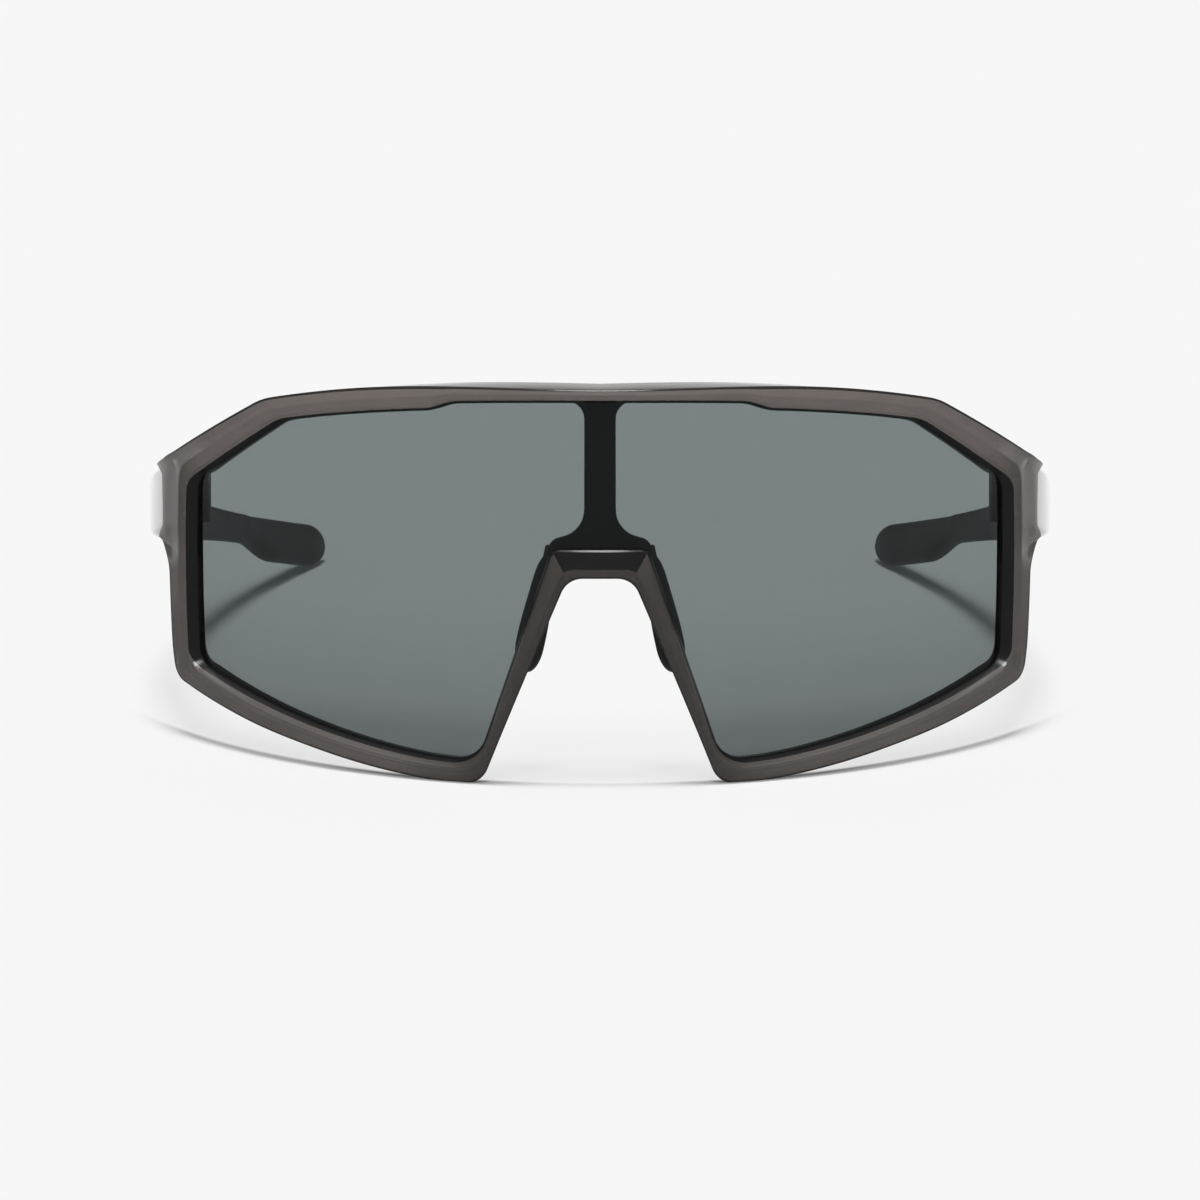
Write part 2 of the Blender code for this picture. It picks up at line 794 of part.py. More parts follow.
def make_shield_lens():
    edge = offset(outline(opening_corners()), GROOVE_DEPTH - FIT)
    plate = wrapped_plate(edge, LENS_RECESS, LENS_BACK, LENS_STRIP_REACH, LENS_STRIP_RISE)
    lens = add_part("shield_lens", plate, TINT, FRONT_DATUM)
    smooth_part(lens)


def pad_frame(side):
    """Axes of a nose pad in the front's space: width, normal towards the nose, length."""
    length = Vector((-math.sin(PAD_LEAN), 0.0, math.cos(PAD_LEAN)))
    splay = Vector((math.cos(PAD_SPLAY), math.sin(PAD_SPLAY), 0.0))
    width = (splay - length * splay.dot(length)).normalized()
    normal = length.cross(width)
    centre = wrap(PAD_REACH, PAD_RISE, RIM_DEPTH) + Vector((0.0, PAD_BEHIND, 0.0))
    axes = Matrix((width, normal, length)).transposed().to_4x4()
    return mirror_for(side) @ Matrix.Translation(centre) @ axes


def tab_ring(height, margin):
    half = TAB_HALF + margin
    deep = TAB_THICKNESS / 2 + margin
    return [Vector((a * half, b * deep, height)) for a, b in ((-1, -1), (1, -1), (1, 1), (-1, 1))]


def tab_start():
    return PAD_LENGTH / 2 + FIT


def leg_rings():
    """Rings of a pad leg in its pad's space, from the bridge down into the pad."""
    depth = RIM_DEPTH + FIT + COLUMN_DEPTH / 2
    root = wrap(LEG_ROOT_REACH, ARCH_RISE + BRIDGE_HEIGHT, depth)
    root = pad_frame("left").inverted() @ root
    neck = tab_start() + TAB_HALF
    root_ring = [point + root - Vector((0.0, 0.0, neck)) for point in tab_ring(neck, 0.0)]
    return [
        root_ring,
        tab_ring(neck, 0.0),
        tab_ring(tab_start(), 0.0),
        tab_ring(tab_start() - TAB_REACH, 0.0),
    ]


def column_outline():
    arch = outer_corners()["arch"]
    flare_bottom = arch.y + SADDLE_MARGIN
    flare_top = arch.y + BRIDGE_HEIGHT + SADDLE_TOP_MARGIN
    top = TOP_RISE - COLUMN_TOP_MARGIN
    tab_bottom = TOP_RISE - RIM_TOP + RIM_MIDDLE_RAISE
    half = [
        (Vector((COLUMN_TOP_HALF, top)), 0.0),
        (Vector((COLUMN_TOP_HALF, tab_bottom)), 0.0),
        (Vector((COLUMN_HALF, tab_bottom)), COLUMN_TOP_RADIUS),
        (Vector((COLUMN_HALF, flare_top + COLUMN_FLARE_RISE)), COLUMN_FLARE_RADIUS),
        (Vector((COLUMN_FLARE_HALF, flare_top)), SADDLE_SHOULDER_RADIUS),
        (Vector((SADDLE_SIDE_HALF, flare_top - SADDLE_SIDE_DROP)), 0.0),
        (Vector((COLUMN_FLARE_HALF - BRIDGE_FLARE, flare_bottom)), 0.0),
    ]
    other = [(Vector((-point.x, point.y)), radius) for point, radius in reversed(half)]
    return rounded_loop(half + other, 5)


def make_nose_bridge():
    front = RIM_DEPTH + FIT
    back = front + COLUMN_DEPTH
    plate = wrapped_plate(column_outline(), front, back, LENS_STRIP_REACH, LENS_STRIP_RISE)
    bridge = add_part("nose_bridge", plate, BLACK, FRONT_DATUM)
    for side in SIDES:
        leg = placed(loft(leg_rings()), pad_frame(side))
        boolean(bridge, add_tool(f"{side}_pad_leg", leg, FRONT_DATUM), "UNION")
    smooth_part(bridge)


def make_nose_pad(side):
    half = PAD_LENGTH / 2
    corners = [
        (Vector((-PAD_TOP_HALF, half)), PAD_TOP_RADIUS),
        (Vector((PAD_TOP_HALF, half)), PAD_TOP_RADIUS),
        (Vector((PAD_BOTTOM_HALF, -half)), PAD_BOTTOM_RADIUS),
        (Vector((-PAD_BOTTOM_HALF, -half)), PAD_BOTTOM_RADIUS),
    ]
    flat = [tuple(point) for point in rounded_loop(corners, 6)]
    thick = PAD_THICKNESS / 2
    body = prism(flat, (0, 1, 0), (1, 0, 0), (0, 0, 1), -thick, thick)
    rim = [edge for edge in body.edges if abs(edge.verts[0].co.y - edge.verts[1].co.y) < FIT]
    bmesh.ops.bevel(body, geom=rim, offset=PAD_EDGE, segments=2, profile=0.5, affect="EDGES")
    pad = add_part(f"{side}_nose_pad", placed(body, pad_frame(side)), SILICONE, FRONT_DATUM)
    rings = [tab_ring(tab_start() + PAD_EDGE, FIT), tab_ring(tab_start() - TAB_REACH - FIT, FIT)]
    pocket = placed(loft(rings), pad_frame(side))
    boolean(pad, add_tool(f"{side}_pad_pocket", pocket, FRONT_DATUM), "DIFFERENCE")
    smooth_part(pad)


def leaf_outline(length, half, fingers):
    """Flat outline of a leaf: full plate, with fingers that reach the pin's axis."""
    points = [(length, -half), (length, half)]
    for low, high in fingers:
        points += [(KNUCKLE_RECESS, high), (0.0, high), (0.0, low), (KNUCKLE_RECESS, low)]
    if fingers[0][1] < half:
        points = points[:2] + [(KNUCKLE_RECESS, half)] + points[2:] + [(KNUCKLE_RECESS, -half)]
    else:
        points = points[:2] + points[3:-1]
    return points


def make_leaf(name, length, half, fingers, screw_places, matrix, parent):
    plate_back = LEAF_FACE - LEAF_THICKNESS
    flat = leaf_outline(length, half, fingers)
    plate = prism(flat, (0, 1, 0), (1, 0, 0), (0, 0, 1), plate_back, LEAF_FACE)
    leaf = add_part(name, placed(plate, matrix), STEEL, parent)
    barrels = bmesh.new()
    for low, high in fingers:
        add_cylinder(barrels, BARREL_RADIUS, (0.0, 0.0, low), (0.0, 0.0, high), BARREL_SEGMENTS)
    boolean(leaf, add_tool(f"{name}_barrels", placed(barrels, matrix), parent), "UNION")
    holes = bmesh.new()
    bore = PIN_RADIUS + PIN_CLEARANCE
    add_cylinder(holes, bore, (0.0, 0.0, -2 * half), (0.0, 0.0, 2 * half), BARREL_SEGMENTS)
    for along, up in screw_places:
        radius = LEAF_SCREW_RADIUS + LEAF_SCREW_CLEARANCE
        start = (along, plate_back - FIT, up)
        add_cylinder(holes, radius, start, (along, LEAF_FACE + FIT, up), HOLE_SEGMENTS)
    boolean(leaf, add_tool(f"{name}_holes", placed(holes, matrix), parent), "DIFFERENCE")
    smooth_part(leaf)


def make_front_leaf(side):
    low = MIDDLE_KNUCKLE_HALF + KNUCKLE_GAP
    fingers = [(low, FRONT_LEAF_HALF), (-FRONT_LEAF_HALF, -low)]
    name = f"{side}_front_hinge_leaf"
    matrix = leaf_turn(side)
    places = front_screw_places()
    make_leaf(name, FRONT_LEAF_LENGTH, FRONT_LEAF_HALF, fingers, places, matrix, SEATS[side])


def make_temple_leaf(side):
    fingers = [(-MIDDLE_KNUCKLE_HALF, MIDDLE_KNUCKLE_HALF)]
    name = f"{side}_temple_hinge_leaf"
    matrix = arm_turn(side)
    places = temple_screw_places()
    make_leaf(name, TEMPLE_LEAF_LENGTH, TEMPLE_LEAF_HALF, fingers, places, matrix, PIVOTS[side])


def screw_mesh(name, radius, length, head_radius, head_height):
    """Turned screw with its head's seat at the origin, made from one profile."""
    bm = bmesh.new()
    profile = ((0, head_height), (head_radius, head_height), (head_radius, 0), (radius, 0))
    profile += ((radius, -length), (0, -length))
    verts = [bm.verts.new((across, 0.0, up)) for across, up in profile]
    for first, second in zip(verts, verts[1:]):
        bm.edges.new((first, second))
    mesh = bpy.data.meshes.new(name)
    bm.to_mesh(mesh)
    bm.free()
    mesh.materials.append(STEEL)
    return mesh


def add_screw(name, mesh, head_radius, head_height, location, direction, parent):
    item = bpy.data.objects.new(name, mesh)
    item.parent = parent
    item.location = location
    item.rotation_euler = direction.to_track_quat("Z", "Y").to_euler()
    PARTS.objects.link(item)
    lathe = item.modifiers.new("turn", "SCREW")
    lathe.steps = SCREW_STEPS
    lathe.render_steps = SCREW_STEPS
    lathe.use_merge_vertices = True
    lathe.merge_threshold = MERGE_DISTANCE
    low = (-2 * head_radius, -SLOT_WIDTH / 2, head_height - SLOT_DEPTH)
    high = (2 * head_radius, SLOT_WIDTH / 2, 2 * head_height)
    slot = add_tool(f"{name}_slot", box(low, high), parent)
    slot.location = item.location
    slot.rotation_euler = item.rotation_euler
    boolean(item, slot, "DIFFERENCE")


def make_screws(side, pin_mesh, leaf_mesh):
    top = Vector((0.0, 0.0, FRONT_LEAF_HALF + SCREW_HEAD_GAP))
    up = Vector((0.0, 0.0, 1.0))
    add_screw(f"{side}_hinge_screw", pin_mesh, PIN_HEAD_RADIUS, PIN_HEAD_HEIGHT, top, up, SEATS[side])
    seat = LEAF_FACE - LEAF_THICKNESS - SCREW_HEAD_GAP
    groups = (
        ("front", front_screw_places(), leaf_turn(side), SEATS[side]),
        ("temple", temple_screw_places(), arm_turn(side), PIVOTS[side]),
    )
    for group, places, matrix, parent in groups:
        direction = matrix.to_3x3() @ Vector((0.0, -1.0, 0.0))
        for number, (along, height) in enumerate(places, 1):
            location = matrix @ Vector((along, seat, height))
            add_screw(
                f"{side}_{group}_leaf_screw_{number}",
                leaf_mesh,
                LEAF_SCREW_HEAD_RADIUS,
                LEAF_SCREW_HEAD_HEIGHT,
                location,
                direction,
                parent,
            )


def shoulder_tool(name, up, parent):
    """Cutter that slopes one edge of the arm's end, so that it fits between the prongs."""
    slope = (PRONG_TIP_HALF - PRONG_GAP / 2) / PRONG_LENGTH
    half = PRONG_GAP / 2 - FIT * math.hypot(1.0, slope)
    base = PRONG_END - PRONG_LENGTH
    step = PRONG_END + FIT
    far = 4 * PRONG_GAP
    flat = [
        (-far, half),
        (base, half),
        (step, half + (step - base) * slope),
        (step, far),
        (-far, far),
    ]
    flat = [(along, up * height) for along, height in flat]
    return add_tool(name, prism(flat, (1, 0, 0), (0, 1, 0), (0, 0, 1), -far, far), parent)


def make_temple_arm(side):
    start = tip_start()
    head = TEMPLE_LEAF_LENGTH + KNUCKLE_RECESS
    places = [tongue_place()] + spread(0.0, head, 2) + spread(head, start, 14)[1:]
    rings = [arm_section(place) for place in places]
    rings += [tang_section(place, 0.0) for place in spread(start, TEMPLE_LENGTH - TANG_SHORT, 8)]
    bm = placed(loft(rings), mirror_for(side))
    arm = add_part(f"{side}_temple_arm", bm, SMOKE_ARM, PIVOTS[side])
    for number, up in enumerate((1.0, -1.0), 1):
        boolean(arm, shoulder_tool(f"{side}_shoulder_cut_{number}", up, PIVOTS[side]), "DIFFERENCE")
    name = f"{side}_temple_screw_holes"
    holes = screw_hole_tool(name, temple_screw_places(), arm_turn(side), PIVOTS[side])
    boolean(arm, holes, "DIFFERENCE")
    smooth_part(arm)


def make_temple_tip(side):
    bm = placed(loft(tip_rings()), mirror_for(side))
    tip = add_part(f"{side}_temple_tip", bm, RUBBER, PIVOTS[side])
    tang_end = TEMPLE_LENGTH - TANG_SHORT + FIT
    rings = [tang_section(place, FIT) for place in spread(tip_start() - FIT, tang_end, 8)]
    pocket = placed(loft(rings), mirror_for(side))
    boolean(tip, add_tool(f"{side}_tang_pocket", pocket, PIVOTS[side]), "DIFFERENCE")
    boolean(tip, FLOOR, "DIFFERENCE")
    smooth_part(tip)


clear_scene()
PARTS = new_collection(COLLECTION_NAME)
TOOLS = new_collection("cutters_and_guides")
SMOKE = new_material("smoke_plastic", (0.110, 0.100, 0.095), 0.18)
SMOKE_ARM = new_material("smoke_arm_plastic", (0.080, 0.074, 0.070), 0.22)
TINT = new_material("grey_green_lens", (0.170, 0.200, 0.195), 0.04)
BLACK = new_material("black_plastic", (0.012, 0.012, 0.013), 0.35)
SILICONE = new_material("black_silicone", (0.015, 0.015, 0.016), 0.60)
RUBBER = new_material("black_rubber", (0.018, 0.018, 0.019), 0.70)
STEEL = new_material("plain_steel", (0.450, 0.440, 0.420), 0.32, 1.0)

LIFT, TEMPLE_DROP, DEPTH_SHIFT = stance()
FRONT_PLACE = Vector((0.0, DEPTH_SHIFT, LIFT))
FRONT_DATUM = add_empty("front_datum", FRONT_PLACE, (-FRONT_LEAN, 0.0, 0.0))
FLOOR = floor_tool()
SEATS = {}
PIVOTS = {}
for side_name, side_sign in SIDES.items():
    hinge = front_rotation() @ pivot_in_front() + FRONT_PLACE
    hinge.x *= side_sign
    tilt = (-TEMPLE_DROP, 0.0, 0.0)
    SEATS[side_name] = add_empty(f"{side_name}_hinge_seat", hinge, tilt)
    PIVOTS[side_name] = add_empty(f"{side_name}_temple_pivot", hinge, tilt)

make_front_frame()
make_shield_lens()
make_nose_bridge()
PIN_LENGTH = 2 * FRONT_LEAF_HALF + SCREW_HEAD_GAP
PIN_MESH = screw_mesh("hinge_screw", PIN_RADIUS, PIN_LENGTH, PIN_HEAD_RADIUS, PIN_HEAD_HEIGHT)
LEAF_SCREW_MESH = screw_mesh(
    "leaf_screw",
    LEAF_SCREW_RADIUS,
    LEAF_SCREW_LENGTH,
    LEAF_SCREW_HEAD_RADIUS,
    LEAF_SCREW_HEAD_HEIGHT,
)
for side_name in SIDES:
    make_nose_pad(side_name)
    make_front_leaf(side_name)
    make_temple_leaf(side_name)
    make_screws(side_name, PIN_MESH, LEAF_SCREW_MESH)
    make_temple_arm(side_name)
    make_temple_tip(side_name)
bpy.context.view_layer.update()
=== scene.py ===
"""Looks of wraparound sport sunglasses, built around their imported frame.

Lengths are metres, +Z is up and the lens faces -Y. The rim, the lens and the nose bridge are drawn
unrolled flat, as reach along the brow, depth behind the ridge and rise from the lens centre, and are
then wrapped round the face. The temples are drawn in hinge space: outward, behind the pin, along it.
"""

import json
import math

import bmesh
import bpy
from mathutils import Matrix, Vector


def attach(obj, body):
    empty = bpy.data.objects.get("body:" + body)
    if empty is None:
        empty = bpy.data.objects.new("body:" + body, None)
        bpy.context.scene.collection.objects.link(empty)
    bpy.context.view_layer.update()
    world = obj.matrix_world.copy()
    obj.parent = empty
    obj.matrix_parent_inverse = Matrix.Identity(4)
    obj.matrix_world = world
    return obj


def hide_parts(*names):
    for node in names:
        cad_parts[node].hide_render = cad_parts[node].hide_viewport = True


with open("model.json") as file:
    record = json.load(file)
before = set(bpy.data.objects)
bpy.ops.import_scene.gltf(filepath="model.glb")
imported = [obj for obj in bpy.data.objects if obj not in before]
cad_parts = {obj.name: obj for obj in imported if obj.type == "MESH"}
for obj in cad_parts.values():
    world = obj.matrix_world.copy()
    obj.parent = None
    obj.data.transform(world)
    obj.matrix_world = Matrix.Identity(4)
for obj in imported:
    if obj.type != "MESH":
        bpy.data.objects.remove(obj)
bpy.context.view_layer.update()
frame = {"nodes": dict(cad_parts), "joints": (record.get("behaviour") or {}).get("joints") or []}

bl_info = {
    "name": "Wraparound sport sunglasses",
    "version": (1, 0, 0),
    "blender": (4, 5, 0),
    "location": "3D View > Sidebar > Sunglasses",
    "description": "Builds shield sunglasses with folding temples around their packed frame",
    "category": "Object",
}

SIDES = {"left": 1.0, "right": -1.0}

# Rim outline, unrolled flat
TOP_RISE = 0.0328
BROW_REACH = 0.0585
BROW_DROP = 0.0044
SIDE_REACH = 0.0805
SHOULDER_DROP = 0.0150
SIDE_HEIGHT = 0.0361
JAW_TUCK = 0.0007
HEEL_REACH = 0.0193
HEEL_DROP = 0.0126
ARCH_REACH = 0.0051
ARCH_RISE = 0.0023
BROW_RADIUS = 0.0140
SHOULDER_RADIUS = 0.0025
JAW_RADIUS = 0.0030
HEEL_RADIUS = 0.0042
ARCH_RADIUS = 0.0036
TOP_POWER = 2.6
BOTTOM_POWER = 1.50
HEEL_FLAT = 0.0020

# Rim widths between the outer edge and the lens opening
RIM_TOP = 0.0040
RIM_MIDDLE_RAISE = 0.0010
RAISE_START = 0.0230
RAISE_END = 0.0285
RIM_BROW = 0.0032
RIM_SHOULDER = 0.0034
RIM_SIDE = 0.0056
RIM_JAW = 0.0028
RIM_HEEL = 0.0035
RIM_NOSE = 0.0006
BRIDGE_HEIGHT = 0.0045
BRIDGE_FLARE = 0.00245
OPENING_CORNER_RADIUS = 0.0035
OPENING_BROW_RADIUS = 0.0080
OPENING_HEEL_RADIUS = 0.0057
OPENING_BRIDGE_RADIUS = 0.0018
RIDGE_SHARE = {
    "top": 0.45,
    "raise": 0.45,
    "brow": 0.50,
    "shoulder": 0.55,
    "jaw": 0.58,
    "heel": 0.62,
    "arch": 0.30,
}

# Rim section, measured back from the ridge
RIM_DEPTH = 0.0050
EDGE_SETBACK = 0.0010
LIP_SETBACK = 0.0003
LIP_BEVEL = 0.0007
BACK_LIP = 0.0006
BACK_FLARE = 0.0009
BACK_TAPER = 0.0005
LENS_RECESS = 0.0020
LENS_THICKNESS = 0.0014
GROOVE_DEPTH = 0.0010
FIT = 0.0003
GROOVE_FRONT = LENS_RECESS - FIT
GROOVE_BACK = LENS_RECESS + LENS_THICKNESS + FIT

# Flares of the opening's sides behind the lens, from the groove to the rim's back
GROOVE_FLARE = 0.0006
LIP_FLARE = 2.5 * GROOVE_FLARE
BACK_SIDE_FLARE = 2.8 * GROOVE_FLARE

# Shaping of the rim's edges along the brow, at the sides and at the jaw
DIP_REACH = 0.0480
RISE_SWELL = 2.5
SIDE_START = 0.0480
SIDE_END = 0.0620
JAW_START = -0.0200
JAW_END = -0.0120
JAW_SHARE = 0.5
ROUND_LIMIT = 0.45

# Painted shade line along the rim's front edge, a dark band standing in for the edge's dark reflection:
# (width share, most of the way inward) of its two inner rows
EDGE_SHADE_NAME = "painted_edge_shade"
EDGE_SHADE_ROWS = ((1.25, 0.75), (1.0, 0.6))

# Lip and black sheet over the nose arch; the sheet is painted shade on the arch's inner facet
ARCH_SPAN = 11
ARCH_LIP_SHARE = 0.1
ARCH_SHEET_DEPTH = 0.0009
ARCH_STRIP_DEPTH = ARCH_SHEET_DEPTH + 0.69 * FIT

# End lug with its two prongs
LUG_LENGTH = 0.0080
LUG_DROP = 0.0140
LUG_FILLET = 0.0055
LUG_TOP_SLOPE = 0.55
LUG_UNDER = 0.0003
PRONG_GAP = 0.0078
PRONG_END = 0.0006
PRONG_BASE = -0.0020
PRONG_TIP_HALF = 0.0056
LUG_BLEND = 0.0040

# Curves of the face
WRAP_RADIUS = 0.0880
FACE_RADIUS = 0.3200
END_BEND_RADIUS = 0.0140
END_BEND_REACH = SIDE_REACH + 0.0015
FRONT_LEAN = math.radians(5.0)

# Hinge
HINGE_REACH = SIDE_REACH + 0.0015
HINGE_RISE = TOP_RISE - SHOULDER_DROP - 0.0076
HINGE_DEPTH = 0.0063
BARREL_RADIUS = 0.0015
LEAF_FACE = 0.00155
LEAF_THICKNESS = 0.0008
FRONT_LEAF_LENGTH = 0.0056
FRONT_LEAF_HALF = 0.0042
TEMPLE_LEAF_LENGTH = 0.0110
KNUCKLE_RECESS = 0.0019
BOSS_MARGIN = 0.0006
BOSS_SHORT = 0.0006
BOSS_DEPTH = 0.0016
FRONT_SCREW_PLACE = 0.0038
FRONT_SCREW_SPACING = 0.0052
TEMPLE_SCREW_PLACES = (0.0045, 0.0090)
SCREW_SEAT_GAP = 0.0001
PIN_RADIUS = 0.0007
PIN_LENGTH = 2 * FRONT_LEAF_HALF + SCREW_SEAT_GAP
PIN_HEAD_RADIUS = 0.0013
PIN_HEAD_HEIGHT = 0.0008
LEAF_SCREW_RADIUS = 0.00055
LEAF_SCREW_LENGTH = 0.0032
LEAF_SCREW_HEAD_RADIUS = 0.0010
LEAF_SCREW_HEAD_HEIGHT = 0.0005

# Temple arm
TEMPLE_LENGTH = 0.1220
ARM_INNER_FACE = 0.0018
ARM_OUTER_FACE = 0.0094
HEAD_TUCK = 0.0044
HEAD_END = 0.0320
HEAD_SLIM_END = 0.0360
HEAD_TOP = 0.0057
HEAD_BOTTOM = -0.0059
ARM_THICKNESS = 0.0038
SLIM_START = 0.0550
SLIM_TOP = 0.0029
SLIM_BOTTOM = -0.0033
CURVE_START = 0.0240
CURVE_INWARD = 0.0213

# Soft tip sleeve over the arm's tang
TIP_LENGTH = 0.0360
TIP_START = TEMPLE_LENGTH - TIP_LENGTH
TIP_TOP = 0.0026
TIP_BOTTOM = -0.0051
TIP_NECK_BOTTOM = -0.0025
TIP_SWEEP_START = 0.0020
TIP_SWEEP_END = 0.0160
TIP_END_THINNING = 0.00095
TIP_END_ANGLE = math.radians(82.0)
TIP_RADIUS = 0.0018
TANG_HALF = 0.0013
TANG_THICKNESS = 0.0015
TANG_SHORT = 0.0070
TANG_RADIUS = 0.0004

# Nose bridge and pads
COLUMN_HALF = 0.00265
COLUMN_TOP_HALF = 0.0060
COLUMN_TOP_MARGIN = 0.0004
COLUMN_TOP_RADIUS = 0.0028
COLUMN_FLARE_HALF = 0.0083
COLUMN_FLARE_RISE = 0.0016
COLUMN_FLARE_RADIUS = 0.0045
SADDLE_MARGIN = 0.0006
SADDLE_TOP_MARGIN = 0.0010
SADDLE_SIDE_HALF = 0.0090
SADDLE_SIDE_DROP = 0.0024
SADDLE_SHOULDER_RADIUS = 0.0020
COLUMN_DEPTH = 0.0020
COLUMN_CORNER_RADIUS = 0.0008
PAD_REACH = 0.0105
PAD_RISE = -0.0045
PAD_BEHIND = 0.0050
PAD_LENGTH = 0.0191
PAD_BOTTOM_HALF = 0.0034
PAD_THICKNESS = 0.0026
PAD_SPLAY = math.radians(58.0)
PAD_LEAN = math.radians(12.5)
PAD_TAPER = 0.4
PAD_SQUARENESS = 0.75
PAD_END_START = 0.06
PAD_END_POWER = 0.6
TAB_HALF = 0.0014
TAB_THICKNESS = 0.0009
TAB_REACH = 0.0100
TAB_RADIUS = 0.0003
LEG_ROOT_REACH = 0.0053

# Tones of the smoke plastic by height and by distance from the middle: painted light along the brow,
# painted shade round the nose and in the lugs; and of the lens, darker towards the bottom as painted shade
BROW_LIGHT_HEIGHT = (0.036, 0.054)
NOSE_SHADE_REACH = (0.020, 0.034)
NOSE_SHADE_HEIGHT = (0.034, 0.042)
LUG_SHADE_REACH = (0.0640, 0.0690)
LUG_SHADE_HEIGHT = (0.028, 0.034)
PLAIN_TONE = 1.03
CLOUD_CONTRAST = 0.07
# Level of the painted shade line along the rim's front edge
EDGE_SHADE_TONE = 0.2
RIM_IOR = 1.53
MOULDING_IOR = 1.50
LENS_SHADE_HEIGHT = (0.008, 0.028)
LENS_MIRROR = 0.04

# Stage: floor, reflected room, lights and camera (lens and sensor in millimetres)
FLOOR_HALF = 20.0
FLOOR_GAP = 0.00005
FRONT_GLOW_INSETS = (0.0022, 0.0010)
MIRRORED_FLOOR = (-0.02, 0.08)
MIRRORED_BACK = (0.90, 0.97)
MIRRORED_TOP = (0.80, 0.95)
TOP_LIGHT_PLACE = (0.0, -0.05, 1.0)
SOFT_LIGHT_PLACE = (0.0, -0.45, 1.0)
CAMERA_LENS = 159.36
CAMERA_SENSOR = 36.0
CAMERA_CLIP = 0.01
CAMERA_TILT = math.radians(76.62)

# Cutter that flattens what rests on the floor
CUT_REACH = 0.3
CUT_DEPTH = 0.1

# Fineness of the curves
LENS_STRIP = 0.0020
COLUMN_STRIP = 0.0015
SMOOTH_ANGLE = math.radians(32.0)
CRISP_ANGLE = math.radians(14.0)
FLAT_ANGLE = math.radians(0.5)
MERGE_DISTANCE = 1e-6
ROUND_STEPS = 4
FACE_ROWS = 12
BACK_ROWS = 12
OUTLINE_STEPS = {
    "middle": 16,
    "raise": 12,
    "top": 20,
    "brow": 10,
    "slope": 14,
    "shoulder": 10,
    "upper_side": 36,
    "lower_side": 10,
    "jaw": 12,
    "bottom": 44,
    "heel": 16,
    "nose": 24,
    "arch": 12,
    "saddle": 5,
}
BLEND_STRIDES = 12
LUG_TOP_STEPS = 16
LUG_FILLET_STEPS = 12
CORNER_STEPS = 8
BAR_STEPS = 5
TAB_STEPS = 3
LEG_STEPS = 8
PAD_SIDES = 24
PAD_END_STEPS = 9
PAD_STEPS = 16
HEAD_STEPS = 8
ARM_STEPS = 60
TANG_STEPS = 12
TIP_STEPS = 44
TIP_END_STEPS = 16
HEAD_SIDES = 40
SHANK_SIDES = 32
SCREW_SEED = 3


class Value:
    """A node's output that takes part in Python arithmetic by adding Math nodes."""

    def __init__(self, graph, socket):
        self.graph = graph
        self.socket = socket

    def math(self, operation, *operands):
        return self.graph.node("ShaderNodeMath", {"operation": operation}, dict(enumerate(operands)))

    def __add__(self, other):
        return self.math("ADD", self, other)

    def __radd__(self, other):
        return self.math("ADD", other, self)

    def __sub__(self, other):
        return self.math("SUBTRACT", self, other)

    def __rsub__(self, other):
        return self.math("SUBTRACT", other, self)

    def __mul__(self, other):
        return self.math("MULTIPLY", self, other)

    def __rmul__(self, other):
        return self.math("MULTIPLY", other, self)

    def __truediv__(self, other):
        return self.math("DIVIDE", self, other)

    def __rtruediv__(self, other):
        return self.math("DIVIDE", other, self)

    def __pow__(self, other):
        return self.math("POWER", self, other)

    def __abs__(self):
        return self.math("ABSOLUTE", self)

    def least(self, other):
        return self.math("MINIMUM", self, other)

    def most(self, other):
        return self.math("MAXIMUM", self, other)

    def sine(self):
        return self.math("SINE", self)

    def cosine(self):
        return self.math("COSINE", self)

    def sign(self):
        return self.math("SIGN", self)


